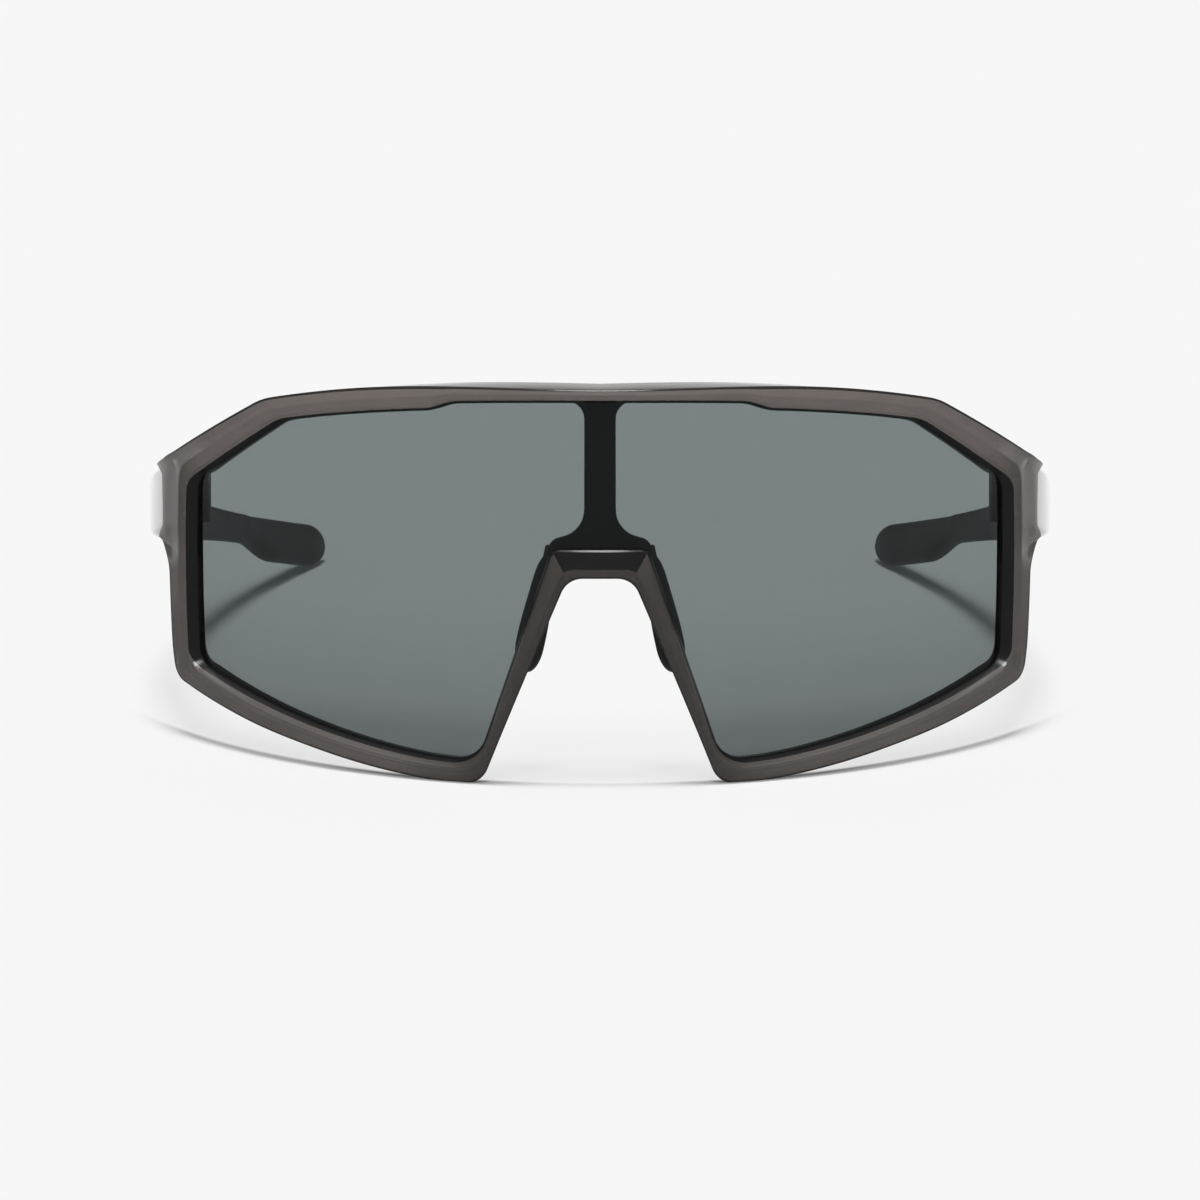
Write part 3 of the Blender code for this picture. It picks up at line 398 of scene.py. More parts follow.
class Graph:
    """A node tree under construction."""

    def __init__(self, tree):
        self.tree = tree

    @classmethod
    def material(cls, name):
        material = bpy.data.materials.new(name)
        material.use_nodes = True
        material.node_tree.nodes.clear()
        return cls(material.node_tree), material

    @classmethod
    def geometry(cls, name):
        graph = cls(bpy.data.node_groups.new(name, "GeometryNodeTree"))
        graph.tree.interface.new_socket("Geometry", in_out="OUTPUT", socket_type="NodeSocketGeometry")
        return graph

    def node(self, kind, settings=None, sockets=None, output=0):
        """Add a node, with its settings first, then its socket values or links."""
        made = self.tree.nodes.new(kind)
        for name, value in (settings or {}).items():
            setattr(made, name, value)
        for name, value in (sockets or {}).items():
            if isinstance(value, Value):
                self.tree.links.new(value.socket, made.inputs[name])
            else:
                made.inputs[name].default_value = value
        return Value(self, made.outputs[output]) if made.outputs else made

    def group_input(self, name, kind, default=None):
        """Add a named input to the tree and return its value."""
        socket = self.tree.interface.new_socket(name, in_out="INPUT", socket_type=kind)
        if default is not None:
            socket.default_value = default
        entry = self.tree.nodes.new("NodeGroupInput")
        return Value(self, entry.outputs[socket.identifier])

    def sizes(self, defaults):
        """Add named number inputs to the tree and return their values."""
        return [self.group_input(name, "NodeSocketFloat", value) for name, value in defaults.items()]

    def finish_shape(self, shape, material):
        """End a geometry tree in a plain mesh with its material."""
        solid = self.node("GeometryNodeRealizeInstances", None, {"Geometry": shape})
        done = self.node("GeometryNodeSetMaterial", None, {"Geometry": solid, "Material": material})
        self.node("NodeGroupOutput", None, {"Geometry": done})
        return self.tree

    def split(self, vector):
        """The three parts of a vector."""
        parts = self.node("ShaderNodeSeparateXYZ", None, {0: vector}).socket.node
        return [Value(self, socket) for socket in parts.outputs]

    def light_path(self, *names):
        """Facts about the ray of light that reaches a surface."""
        path = self.node("ShaderNodeLightPath").socket.node
        return [Value(self, path.outputs[name]) for name in names]

    def blend(self, factor, first, second):
        """Mix two colours."""
        return self.node(
            "ShaderNodeMix", {"data_type": "RGBA"}, {"Factor": factor, 6: first, 7: second}, output=2
        )

    def noise(self, place, scale, detail=2.0, roughness=0.5, stretch=None):
        if stretch:
            place = self.node("ShaderNodeMapping", None, {"Vector": place, "Scale": stretch})
        sockets = {"Vector": place, "Scale": scale, "Detail": detail, "Roughness": roughness}
        return self.node("ShaderNodeTexNoise", None, sockets, output="Fac")

    def ramp(self, factor, low, high):
        """Clamped share of a value between two levels."""
        return self.node("ShaderNodeMapRange", None, {"Value": factor, "From Min": low, "From Max": high})

    def bump(self, height, distance, strength=1.0):
        sockets = {"Height": height, "Distance": distance, "Strength": strength}
        return self.node("ShaderNodeBump", None, sockets)

    def surface(self, shader, volume=None):
        sockets = {"Surface": shader}
        if volume:
            sockets["Volume"] = volume
        self.node("ShaderNodeOutputMaterial", None, sockets)


def opaque(colour):
    return (*colour, 1.0)


def length(name, description, default):
    return bpy.props.FloatProperty(
        name=name, description=description, default=default, min=0.0, precision=5, unit="LENGTH"
    )


def share(name, description, default):
    return bpy.props.FloatProperty(
        name=name, description=description, default=default, min=0.0, max=1.0, subtype="FACTOR"
    )


def colour(name, description, default):
    return bpy.props.FloatVectorProperty(
        name=name, description=description, default=default, min=0.0, max=1.0, size=3, subtype="COLOR"
    )


def angle(name, description, degrees):
    return bpy.props.FloatProperty(
        name=name, description=description, default=math.radians(degrees), min=0.0, subtype="ANGLE"
    )


def amount(name, description, default):
    return bpy.props.FloatProperty(name=name, description=description, default=default, min=0.0)


class FrontSettings(bpy.types.PropertyGroup):
    """Rim and shield lens."""

    ridge_round: length("Ridge rounding", "How far the rim's ridge line is softened", 0.00030)
    edge_round: length("Edge rounding", "How far the rim's outer edge is softened", 0.00018)
    side_setback: length("Side setback", "How far the edge lies behind the ridge at the sides", 0.00015)
    brow_setback: length("Brow setback", "How far the edge lies behind the ridge along the brow", 0.00035)
    top_dip: length("Top dip", "How far the front edge dips in the middle of the brow", 0.00108)
    back_rise: length("Back rise", "How far the back edge rises along the brow", 0.00040)
    # Width of the painted shade line along the rim's front edge
    painted_edge_shade: length("Edge line", "Width of the dark line along the rim's front edge", 0.00042)
    lip_round: length("Lip rounding", "How far the lip round the lens is softened", 0.00020)
    smoke: colour("Smoke", "Colour of the rim's cloudy plastic", (0.275, 0.247, 0.232))
    # Brow tone is painted light on the smoke along the brow; nose tone is painted shade round the nose and
    # in the lugs
    brow_painted_light: amount("Brow tone", "Brightness of the smoke along the brow", 1.48)
    nose_and_lug_painted_shade: amount("Nose tone", "Brightness of the smoke round the nose and in the lugs", 0.56)
    smoke_inside: colour("Smoke inside", "Colour that light takes inside the rim", (0.46, 0.425, 0.405))
    smoke_density: amount("Smoke density", "Absorption of the rim's plastic per metre", 700.0)
    smoke_clearness: share("Clearness", "Share of the rim's plastic that is clear, not cloudy", 0.60)
    smoke_roughness: share("Rim roughness", "Polish of the rim", 0.06)
    # The black sheet round the lens is painted shade on the rim's inner wall and behind the lens
    shade_sheet_lift: length("Seal lift", "How far the seal stands off the rim's lip", 0.00004)
    shade_sheet_thickness: length("Seal thickness", "How deep the seal sinks into the rim's lip", 0.00020)
    shade_sheet_share: share("Seal share", "Share of the lip that the seal covers above and below", 0.35)
    shade_sheet_colour: colour("Seal colour", "Colour of the seal round the lens", (0.009, 0.009, 0.009))
    shade_sheet_roughness: share("Seal roughness", "Polish of the seal", 0.14)
    tint: colour("Lens tint", "Share of light that passes the upper lens", (0.214, 0.250, 0.247))
    # The lower tint is the upper tint darkened as painted shade towards the bottom of the lens
    shaded_lower_tint: colour("Lower tint", "Share of light that passes the lower lens", (0.176, 0.199, 0.200))
    lens_roughness: share("Lens roughness", "Polish of the lens", 0.03)


class NoseSettings(bpy.types.PropertyGroup):
    """Nose bridge and pads."""

    column_round: length("Bar rounding", "Rounding of the bar's edges", 0.00045)
    pad_end_round: length("Pad end rounding", "Length over which a pad's ends round off", 0.0045)
    pad_top_half: length("Pad top", "Half width of a pad at its top", 0.0020)
    pad_dish: length("Pad dish", "Hollow of the pad's face towards the nose", 0.00025)
    bridge_colour: colour("Bridge colour", "Colour of the moulded bridge", (0.032, 0.032, 0.030))
    bridge_roughness: share("Bridge roughness", "Polish of the moulded bridge", 0.38)
    pad_colour: colour("Pad colour", "Colour of the soft pads", (0.016, 0.016, 0.017))
    pad_roughness: share("Pad roughness", "Polish of the soft pads", 0.58)


class TempleSettings(bpy.types.PropertyGroup):
    """Temple arms and tips."""

    outer_round: length("Outer rounding", "Rounding of the arm's outer edges", 0.00150)
    inner_round: length("Inner rounding", "Rounding of the arm's inner edges", 0.00070)
    nose_round: length("Head rounding", "Rounding of the arm's end at the hinge", 0.00080)
    tip_gap: length("Tip gap", "Parting line between the arm and its tip", 0.00010)
    tip_round: length("Tip rounding", "Length over which a tip's end rounds off", 0.00650)
    arm_colour: colour("Arm colour", "Colour of the arms", (0.018, 0.017, 0.017))
    arm_roughness: share("Arm roughness", "Polish of the arms", 0.10)
    tip_colour: colour("Tip colour", "Colour of the soft tips", (0.019, 0.019, 0.019))
    tip_roughness: share("Tip roughness", "Polish of the soft tips", 0.55)


class HardwareSettings(bpy.types.PropertyGroup):
    """Hinge leaves and screws."""

    leaf_bevel: length("Leaf bevel", "Bevel on the edges of the hinge leaves", 0.00010)
    slot_width: length("Slot width", "Width of the slot in a screw head", 0.00040)
    slot_depth: length("Slot depth", "Depth of the slot in a screw head", 0.00030)
    head_bevel: length("Head bevel", "Bevel on a screw head's edge", 0.00015)
    steel: colour("Steel", "Colour of the leaves and screws", (0.46, 0.45, 0.43))
    steel_roughness: share("Steel roughness", "Polish of the leaves and screws", 0.30)


class StageSettings(bpy.types.PropertyGroup):
    """Floor, light and camera."""

    floor_colour: colour("Floor colour", "Colour of the floor and the background", (0.93, 0.93, 0.93))
    sky_light: amount("Sky light", "Level of the even light from all round", 0.15)
    front_glow: share("Front glow", "Share of the bare floor's look kept in shadow at the front", 0.10)
    floor_glow: share("Floor glow", "The same share for the floor behind the front", 0.80)
    lens_glow: share("Lens glow", "The same share for the floor seen through the lens", 0.10)
    top_light: amount("Top light", "Strength of the light straight overhead", 1.86)
    top_angle: angle("Top light size", "Angle that the light overhead fills", 14.0)
    soft_light: amount("Soft light", "Strength of the soft light above the front", 0.90)
    soft_angle: angle("Soft light size", "Angle that the soft light fills", 20.0)
    dim_side: share("Dim side", "Level of the room in front of the glasses, seen in reflections", 0.23)
    camera_distance: length("Camera distance", "Distance of the camera in front of the middle", 0.87814)
    camera_height: length("Camera height", "Height of the camera", 0.2200)


def ease(value):
    value = min(max(value, 0.0), 1.0)
    return value * value * (3.0 - 2.0 * value)


def mix(first, second, part):
    return first + (second - first) * part


def spread(first, last, count):
    """Evenly spaced values from the first to the last, in a count of equal steps."""
    return [mix(first, last, k / count) for k in range(count + 1)]


def turn(before, corner, after, radius, steps):
    """Points of the arc that rounds a corner, from one tangent point to the other."""
    incoming = (corner - before).normalized()
    outgoing = (after - corner).normalized()
    cross = incoming.x * outgoing.y - incoming.y * outgoing.x
    bend = math.atan2(cross, incoming.dot(outgoing))
    start = corner - incoming * radius * math.tan(abs(bend) / 2)
    centre = start + Vector((-incoming.y, incoming.x)) * math.copysign(radius, bend)
    return [centre + Matrix.Rotation(bend * k / steps, 2) @ (start - centre) for k in range(steps + 1)]


def rounded_loop(corners, steps):
    """Closed outline through (point, radius) corners."""
    points = []
    for index, (corner, radius) in enumerate(corners):
        before = corners[index - 1][0]
        after = corners[(index + 1) % len(corners)][0]
        points += turn(before, corner, after, radius, steps) if radius else [corner]
    return points


def offset(loop, distance):
    """Move a clockwise loop outward by a distance."""
    moved = []
    for index, point in enumerate(loop):
        before = (point - loop[index - 1]).normalized()
        after = (loop[(index + 1) % len(loop)] - point).normalized()
        way = (before + after).normalized()
        moved.append(point + Vector((-way.y, way.x)) * (distance / max(way.dot(after), 0.5)))
    return moved


def resampled(points, count):
    """A path's points, spread evenly along it."""
    travelled = [0.0]
    for first, second in zip(points, points[1:]):
        travelled.append(travelled[-1] + (second - first).length)
    result = []
    index = 0
    for goal in spread(0.0, travelled[-1], count - 1):
        while index < len(points) - 2 and travelled[index + 1] < goal:
            index += 1
        part = (goal - travelled[index]) / (travelled[index + 1] - travelled[index])
        result.append(points[index].lerp(points[index + 1], part))
    return result


def outer_corners():
    shoulder_rise = TOP_RISE - SHOULDER_DROP
    jaw_rise = shoulder_rise - SIDE_HEIGHT
    return {
        "top": TOP_RISE,
        "raise": 0.0,
        "brow": Vector((BROW_REACH, TOP_RISE - BROW_DROP, BROW_RADIUS)),
        "shoulder": Vector((SIDE_REACH, shoulder_rise, SHOULDER_RADIUS)),
        "jaw": Vector((SIDE_REACH - JAW_TUCK, jaw_rise, JAW_RADIUS)),
        "heel": Vector((HEEL_REACH, jaw_rise - HEEL_DROP, HEEL_RADIUS)),
        "arch": Vector((ARCH_REACH, ARCH_RISE, ARCH_RADIUS)),
    }


def opening_corners():
    outer = outer_corners()
    inset = {
        "brow": Vector((-RIM_BROW, -RIM_BROW)),
        "shoulder": Vector((-RIM_SIDE, -RIM_SHOULDER)),
        "jaw": Vector((JAW_TUCK - RIM_SIDE, RIM_JAW)),
        "heel": Vector((RIM_NOSE, RIM_HEEL)),
        "arch": Vector((BRIDGE_FLARE, BRIDGE_HEIGHT)),
    }
    radius = {
        "brow": OPENING_BROW_RADIUS,
        "heel": OPENING_HEEL_RADIUS,
        "arch": OPENING_BRIDGE_RADIUS,
    }
    corners = {"top": TOP_RISE - RIM_TOP, "raise": RIM_MIDDLE_RAISE}
    for name, step in inset.items():
        corners[name] = Vector((*(outer[name].xy + step), radius.get(name, OPENING_CORNER_RADIUS)))
    return corners


def ridge_corners():
    outer = outer_corners()
    inner = opening_corners()
    return {name: mix(outer[name], inner[name], RIDGE_SHARE[name]) for name in outer}


def top_rise(corners, reach):
    drop = (corners["top"] - corners["brow"].y) * (reach / corners["brow"].x) ** TOP_POWER
    raised = ease((RAISE_END - reach) / (RAISE_END - RAISE_START))
    return corners["top"] - drop + corners["raise"] * raised


def bottom_rise(corners, reach):
    jaw = corners["jaw"]
    heel = corners["heel"]
    flat_end = heel.x + HEEL_FLAT
    part = max(reach - flat_end, 0.0) / (jaw.x - flat_end)
    return heel.y + (jaw.y - heel.y) * part**BOTTOM_POWER


def lug_path(start, stop):
    """Edge of the end lug, from the shoulder out round its end and back to the side."""
    outer = outer_corners()
    brow = outer["brow"].xy
    shoulder = outer["shoulder"].xy
    slope = (shoulder.y - brow.y) / (shoulder.x - brow.x)
    end = SIDE_REACH + LUG_LENGTH
    tip = Vector((end, shoulder.y + LUG_LENGTH * slope * LUG_TOP_SLOPE - LUG_UNDER))
    root = Vector((stop.x, shoulder.y - LUG_DROP))
    corner = Vector((end, root.y))
    parts = spread(0.0, 1.0, LUG_TOP_STEPS)
    top = [start.lerp(shoulder, part).lerp(shoulder.lerp(tip, part), part) for part in parts]
    return top + [corner] + turn(corner, root, stop, LUG_FILLET, LUG_FILLET_STEPS)


def outline(corners, lug=False):
    """Closed clockwise outline of the rim or the opening, as flat (reach, rise) points."""
    steps = OUTLINE_STEPS
    names = ("brow", "shoulder", "jaw", "heel", "arch")
    brow, shoulder, jaw, heel, arch = [corners[name].xy for name in names]
    radius = {name: corners[name].z for name in names}
    middle = Vector((0.0, arch.y))
    reaches = spread(0.0, RAISE_START, steps["middle"])[:-1]
    reaches += spread(RAISE_START, RAISE_END, steps["raise"])
    reaches += spread(RAISE_END, brow.x, steps["top"])[1:-2]
    top = [Vector((reach, top_rise(corners, reach))) for reach in reaches]
    brow_arc = turn(top[-1], brow, shoulder, radius["brow"], steps["brow"])
    shoulder_arc = turn(brow, shoulder, jaw, radius["shoulder"], steps["shoulder"])
    stride = (jaw.x - heel.x - HEEL_FLAT) / BLEND_STRIDES
    near_jaw, near_heel = [
        Vector((reach, bottom_rise(corners, reach)))
        for reach in (jaw.x - stride, heel.x + HEEL_FLAT + stride)
    ]
    jaw_arc = turn(shoulder, jaw, near_jaw, radius["jaw"], steps["jaw"])
    heel_arc = turn(near_heel, heel, arch, radius["heel"], steps["heel"])
    arch_arc = turn(heel, arch, middle, radius["arch"], steps["arch"])
    first = jaw_arc[-1]
    last = heel_arc[0]
    first_step = first.y - bottom_rise(corners, first.x)
    last_step = last.y - bottom_rise(corners, last.x)
    bottom = []
    for reach in spread(first.x, last.x, steps["bottom"])[1:-1]:
        rise = bottom_rise(corners, reach)
        rise += first_step * ease(1.0 - (first.x - reach) / stride)
        rise += last_step * ease(1.0 - (reach - last.x) / stride)
        bottom.append(Vector((reach, rise)))
    lug_foot = TOP_RISE - SHOULDER_DROP - LUG_DROP - LUG_FILLET
    side = shoulder_arc[-1]
    stop = side.lerp(jaw_arc[0], (side.y - lug_foot) / (side.y - jaw_arc[0].y))
    upper_side = shoulder_arc + spread(side, stop, steps["upper_side"])[1:]
    if lug:
        upper_side = resampled(lug_path(shoulder_arc[0], stop), len(upper_side))
    half = top + brow_arc + spread(brow_arc[-1], shoulder_arc[0], steps["slope"])[1:-1]
    half += upper_side + spread(stop, jaw_arc[0], steps["lower_side"])[1:-1]
    half += jaw_arc + bottom + heel_arc + spread(heel_arc[-1], arch_arc[0], steps["nose"])[1:-1]
    half += arch_arc + spread(arch_arc[-1], middle, steps["saddle"])[1:]
    return half + [Vector((-point.x, point.y)) for point in half[-2:0:-1]]


def wrap(reach, rise, depth):
    """Point of the curved front, a depth behind its ridge surface, with its outward angle."""
    angle = min(reach, END_BEND_REACH) / WRAP_RADIUS
    x = WRAP_RADIUS * math.sin(angle)
    y = WRAP_RADIUS * (1.0 - math.cos(angle))
    bent = angle + max(reach - END_BEND_REACH, 0.0) / END_BEND_RADIUS
    x += END_BEND_RADIUS * (math.sin(bent) - math.sin(angle))
    y += END_BEND_RADIUS * (math.cos(angle) - math.cos(bent))
    radius = FACE_RADIUS - depth
    swell = radius * math.cos(rise / FACE_RADIUS) - FACE_RADIUS
    point = Vector((x, y, radius * math.sin(rise / FACE_RADIUS)))
    return point + Vector((math.sin(bent), -math.cos(bent), 0.0)) * swell, bent


LEFT_HINGE = next(joint for joint in frame["joints"] if joint["child"] == "left_temple")
PIVOT = Vector(LEFT_HINGE["pos_m"])
HINGE_AXIS = Vector(LEFT_HINGE["axis"])
LEAN = Matrix.Rotation(-FRONT_LEAN, 4, "X")
FRONT_SHIFT = PIVOT - LEAN @ wrap(HINGE_REACH, HINGE_RISE, HINGE_DEPTH)[0]
FRONT_PLACE = Matrix.Translation((0.0, FRONT_SHIFT.y, FRONT_SHIFT.z)) @ LEAN
HINGE_PLACE = Matrix.Translation(PIVOT) @ Matrix.Rotation(-math.atan2(HINGE_AXIS.y, HINGE_AXIS.z), 4, "X")
SEAT_ANGLE = wrap(HINGE_REACH - FRONT_SCREW_PLACE, HINGE_RISE, 0.0)[1]


def mirror_for(side):
    return Matrix.Diagonal((SIDES[side], 1.0, 1.0, 1.0))


def hinge_place(side):
    """From hinge space to the object, for one side."""
    return mirror_for(side) @ HINGE_PLACE


def front_leaf_place(side):
    """From leaf space (along, into the seat, up) to the object, for one side's front leaf."""
    return hinge_place(side) @ Matrix.Rotation(math.pi + SEAT_ANGLE, 4, "Z")


def temple_leaf_place(side):
    """From leaf space to the object, for one side's temple leaf."""
    swap = Matrix(((0, 1, 0, 0), (1, 0, 0, 0), (0, 0, 1, 0), (0, 0, 0, 1)))
    return hinge_place(side) @ swap


def placed(bm, matrix):
    bm.transform(matrix)
    bm.normal_update()
    bmesh.ops.recalc_face_normals(bm, faces=bm.faces[:])
    return bm


def box(low, high):
    low = Vector(low)
    high = Vector(high)
    bm = bmesh.new()
    place = Matrix.Translation((low + high) / 2) @ Matrix.Diagonal((*(high - low), 1.0))
    bmesh.ops.create_cube(bm, size=1.0, matrix=place)
    return bm


def extruded(bm, faces, depth):
    """Flat faces grown along y to a depth."""
    grown = bmesh.ops.extrude_face_region(bm, geom=faces)
    for item in grown["geom"]:
        if isinstance(item, bmesh.types.BMVert):
            item.co.y = depth
    return bm


def prism(points, low, high):
    """Extrude a flat outline of (x, z) points from low to high along y."""
    bm = bmesh.new()
    face = bm.faces.new([bm.verts.new((point[0], low, point[1])) for point in points])
    extruded(bm, [face], high)
    bmesh.ops.recalc_face_normals(bm, faces=bm.faces[:])
    return bm


def bevelled(bm, edges, width, segments):
    bmesh.ops.bevel(bm, geom=edges, offset=width, segments=segments, profile=0.5, affect="EDGES")
    return bm


def loft(rings, cyclic=False, lined=()):
    """Skin a row of rings with equal counts of points, closing the ends unless it is cyclic."""
    bm = bmesh.new()
    line = bm.verts.layers.float.new(EDGE_SHADE_NAME)
    rows = [[bm.verts.new(point) for point in ring] for ring in rings]
    for index in lined:
        for vert in rows[index]:
            vert[line] = 1.0
    following = rows[1:] + rows[:1] if cyclic else rows[1:]
    for row, after in zip(rows, following):
        for index in range(len(row)):
            beside = (index + 1) % len(row)
            bm.faces.new((row[index], row[beside], after[beside], after[index]))
    if not cyclic:
        bm.faces.new(rows[0])
        bm.faces.new(rows[-1])
    bmesh.ops.recalc_face_normals(bm, faces=bm.faces[:])
    return bm


def sliced(bm, step):
    """Cut a flat shape into strips, so that it bends smoothly when it is wrapped."""
    for axis in (0, 2):
        values = [vert.co[axis] for vert in bm.verts]
        normal = Vector((0.0, 0.0, 0.0))
        normal[axis] = 1.0
        for k in range(math.ceil(min(values) / step), math.floor(max(values) / step) + 1):
            everything = bm.verts[:] + bm.edges[:] + bm.faces[:]
            bmesh.ops.bisect_plane(
                bm, geom=everything, dist=MERGE_DISTANCE, plane_co=normal * (k * step), plane_no=normal
            )
    return bm


def along(points, part):
    """The point a given share of the way along a bent line of three points."""
    start, middle, end = points
    first = (middle - start).length
    second = (end - middle).length
    travel = part * (first + second)
    if travel <= first:
        return start.lerp(middle, travel / first)
    return middle.lerp(end, (travel - first) / second)


def towards(spot, goal, distance, most):
    """The point at a distance from a spot on the way to a goal, up to a share of the way."""
    return spot.lerp(goal, min(distance / (goal - spot).length, most))


def softened(rows):
    """Rings of a closed section, from (ring, rounding) rows, with each corner rounded off."""
    rings = []
    for index, (ring, rounding) in enumerate(rows):
        if not rounding:
            rings.append(ring)
            continue
        starts, ends = [
            [towards(spot, near, rounding, ROUND_LIMIT) for spot, near in zip(ring, other)]
            for other in (rows[index - 1][0], rows[(index + 1) % len(rows)][0])
        ]
        for part in spread(0.0, 1.0, ROUND_STEPS):
            rings.append([start.lerp(spot, part).lerp(spot.lerp(end, part), part)
                          for start, spot, end in zip(starts, ring, ends)])
    return rings


def linked(name, data):
    """A new object in the scene."""
    item = bpy.data.objects.new(name, data)
    bpy.context.scene.collection.objects.link(item)
    return item


def mesh_of(bm, name):
    """Mesh of a shape that is no longer edited."""
    mesh = bpy.data.meshes.new(name)
    bm.to_mesh(mesh)
    bm.free()
    return mesh


def shape_of(mesh):
    """Editable shape of a mesh that is no longer needed."""
    bm = bmesh.new()
    bm.from_mesh(mesh)
    bpy.data.meshes.remove(mesh)
    return bm


def scratch_object(bm):
    return linked("work", mesh_of(bm, "work"))


def drop(*items):
    for item in items:
        mesh = item.data
        bpy.data.objects.remove(item)
        if not mesh.users:
            bpy.data.meshes.remove(mesh)


def evaluated_mesh(item):
    bpy.context.view_layer.update()
    depsgraph = bpy.context.evaluated_depsgraph_get()
    return bpy.data.meshes.new_from_object(item.evaluated_get(depsgraph))


def carved(bm, joined=(), cut=()):
    """A closed shape with other shapes joined to it and cut out of it."""
    item = scratch_object(bm)
    tools = []
    for operation, shapes in (("UNION", joined), ("DIFFERENCE", cut)):
        for shape in shapes:
            tool = scratch_object(shape)
            modifier = item.modifiers.new(operation, "BOOLEAN")
            modifier.operation = operation
            modifier.solver = "EXACT"
            modifier.object = tool
            tools.append(tool)
    mesh = evaluated_mesh(item)
    drop(item, *tools)
    return shape_of(mesh)


def floor_cut():
    """Cutter that takes away what would lie below the floor."""
    return box((-CUT_REACH, -CUT_REACH, -CUT_DEPTH), (CUT_REACH, CUT_REACH, 0.0))


def add_piece(name, bm, material, body, nodes, smooth=SMOOTH_ANGLE):
    """Make a finished piece that rides on a body and stands for its nodes."""
    bmesh.ops.remove_doubles(bm, verts=bm.verts[:], dist=MERGE_DISTANCE / 10)
    return add_mesh_piece(name, mesh_of(bm, name), material, body, nodes, smooth)


def add_mesh_piece(name, mesh, material, body, nodes, smooth=SMOOTH_ANGLE):
    mesh.name = name
    mesh.materials.clear()
    mesh.materials.append(material)
    mesh.shade_smooth()
    mesh.set_sharp_from_angle(angle=smooth)
    item = linked(name, mesh)
    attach(item, body)
    if nodes:
        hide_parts(*nodes)
    return item


def grown_mesh(item, tree, values):
    """Plain mesh that a geometry tree makes of a scratch object, with its inputs set by identifier."""
    modifier = item.modifiers.new(tree.name, "NODES")
    modifier.node_group = tree
    for socket in tree.interface.items_tree:
        if socket.in_out == "INPUT" and socket.name in values:
            modifier[socket.identifier] = values[socket.name]
    mesh = evaluated_mesh(item)
    item.modifiers.remove(modifier)
    drop(item)
    return mesh


def wrap_tree():
    """Tree that wraps a flat shape (reach, depth, rise) round the face and sets it in place."""
    graph = Graph.geometry("wrap_round_face")
    shape = graph.group_input("Flat shape", "NodeSocketGeometry")
    wrap_radius, face_radius, bend_reach, bend_radius, lean, back, lift = graph.sizes({
        "Wrap radius": WRAP_RADIUS,
        "Face radius": FACE_RADIUS,
        "End bend reach": END_BEND_REACH,
        "End bend radius": END_BEND_RADIUS,
        "Lean": FRONT_LEAN,
        "Set back": 0.0,
        "Lift": 0.0,
    })
    material = graph.group_input("Material", "NodeSocketMaterial")
    reach, depth, rise = graph.split(graph.node("GeometryNodeInputPosition"))
    distance = abs(reach)
    angle = distance.least(bend_reach) / wrap_radius
    bent = angle + (distance - bend_reach).most(0.0) / bend_radius
    across = wrap_radius * angle.sine() + bend_radius * (bent.sine() - angle.sine())
    behind = wrap_radius * (1.0 - angle.cosine()) + bend_radius * (angle.cosine() - bent.cosine())
    radius = face_radius - depth
    swell = radius * (rise / face_radius).cosine() - face_radius
    height = radius * (rise / face_radius).sine()
    x = reach.sign() * (across + bent.sine() * swell)
    y = behind - bent.cosine() * swell
    leaned_y = y * lean.cosine() + height * lean.sine() + back
    leaned_z = height * lean.cosine() - y * lean.sine() + lift
    goal = graph.node("ShaderNodeCombineXYZ", None, {0: x, 1: leaned_y, 2: leaned_z})
    moved = graph.node("GeometryNodeSetPosition", None, {"Geometry": shape, "Position": goal})
    return graph.finish_shape(moved, material)


def wrapped(bm, material):
    """A flat shape wrapped round the face."""
    tree = bpy.data.node_groups.get("wrap_round_face") or wrap_tree()
    place = FRONT_PLACE.translation
    values = {"Set back": place.y, "Lift": place.z, "Material": material}
    result = shape_of(grown_mesh(scratch_object(bm), tree, values))
    bmesh.ops.recalc_face_normals(result, faces=result.faces[:])
    return result


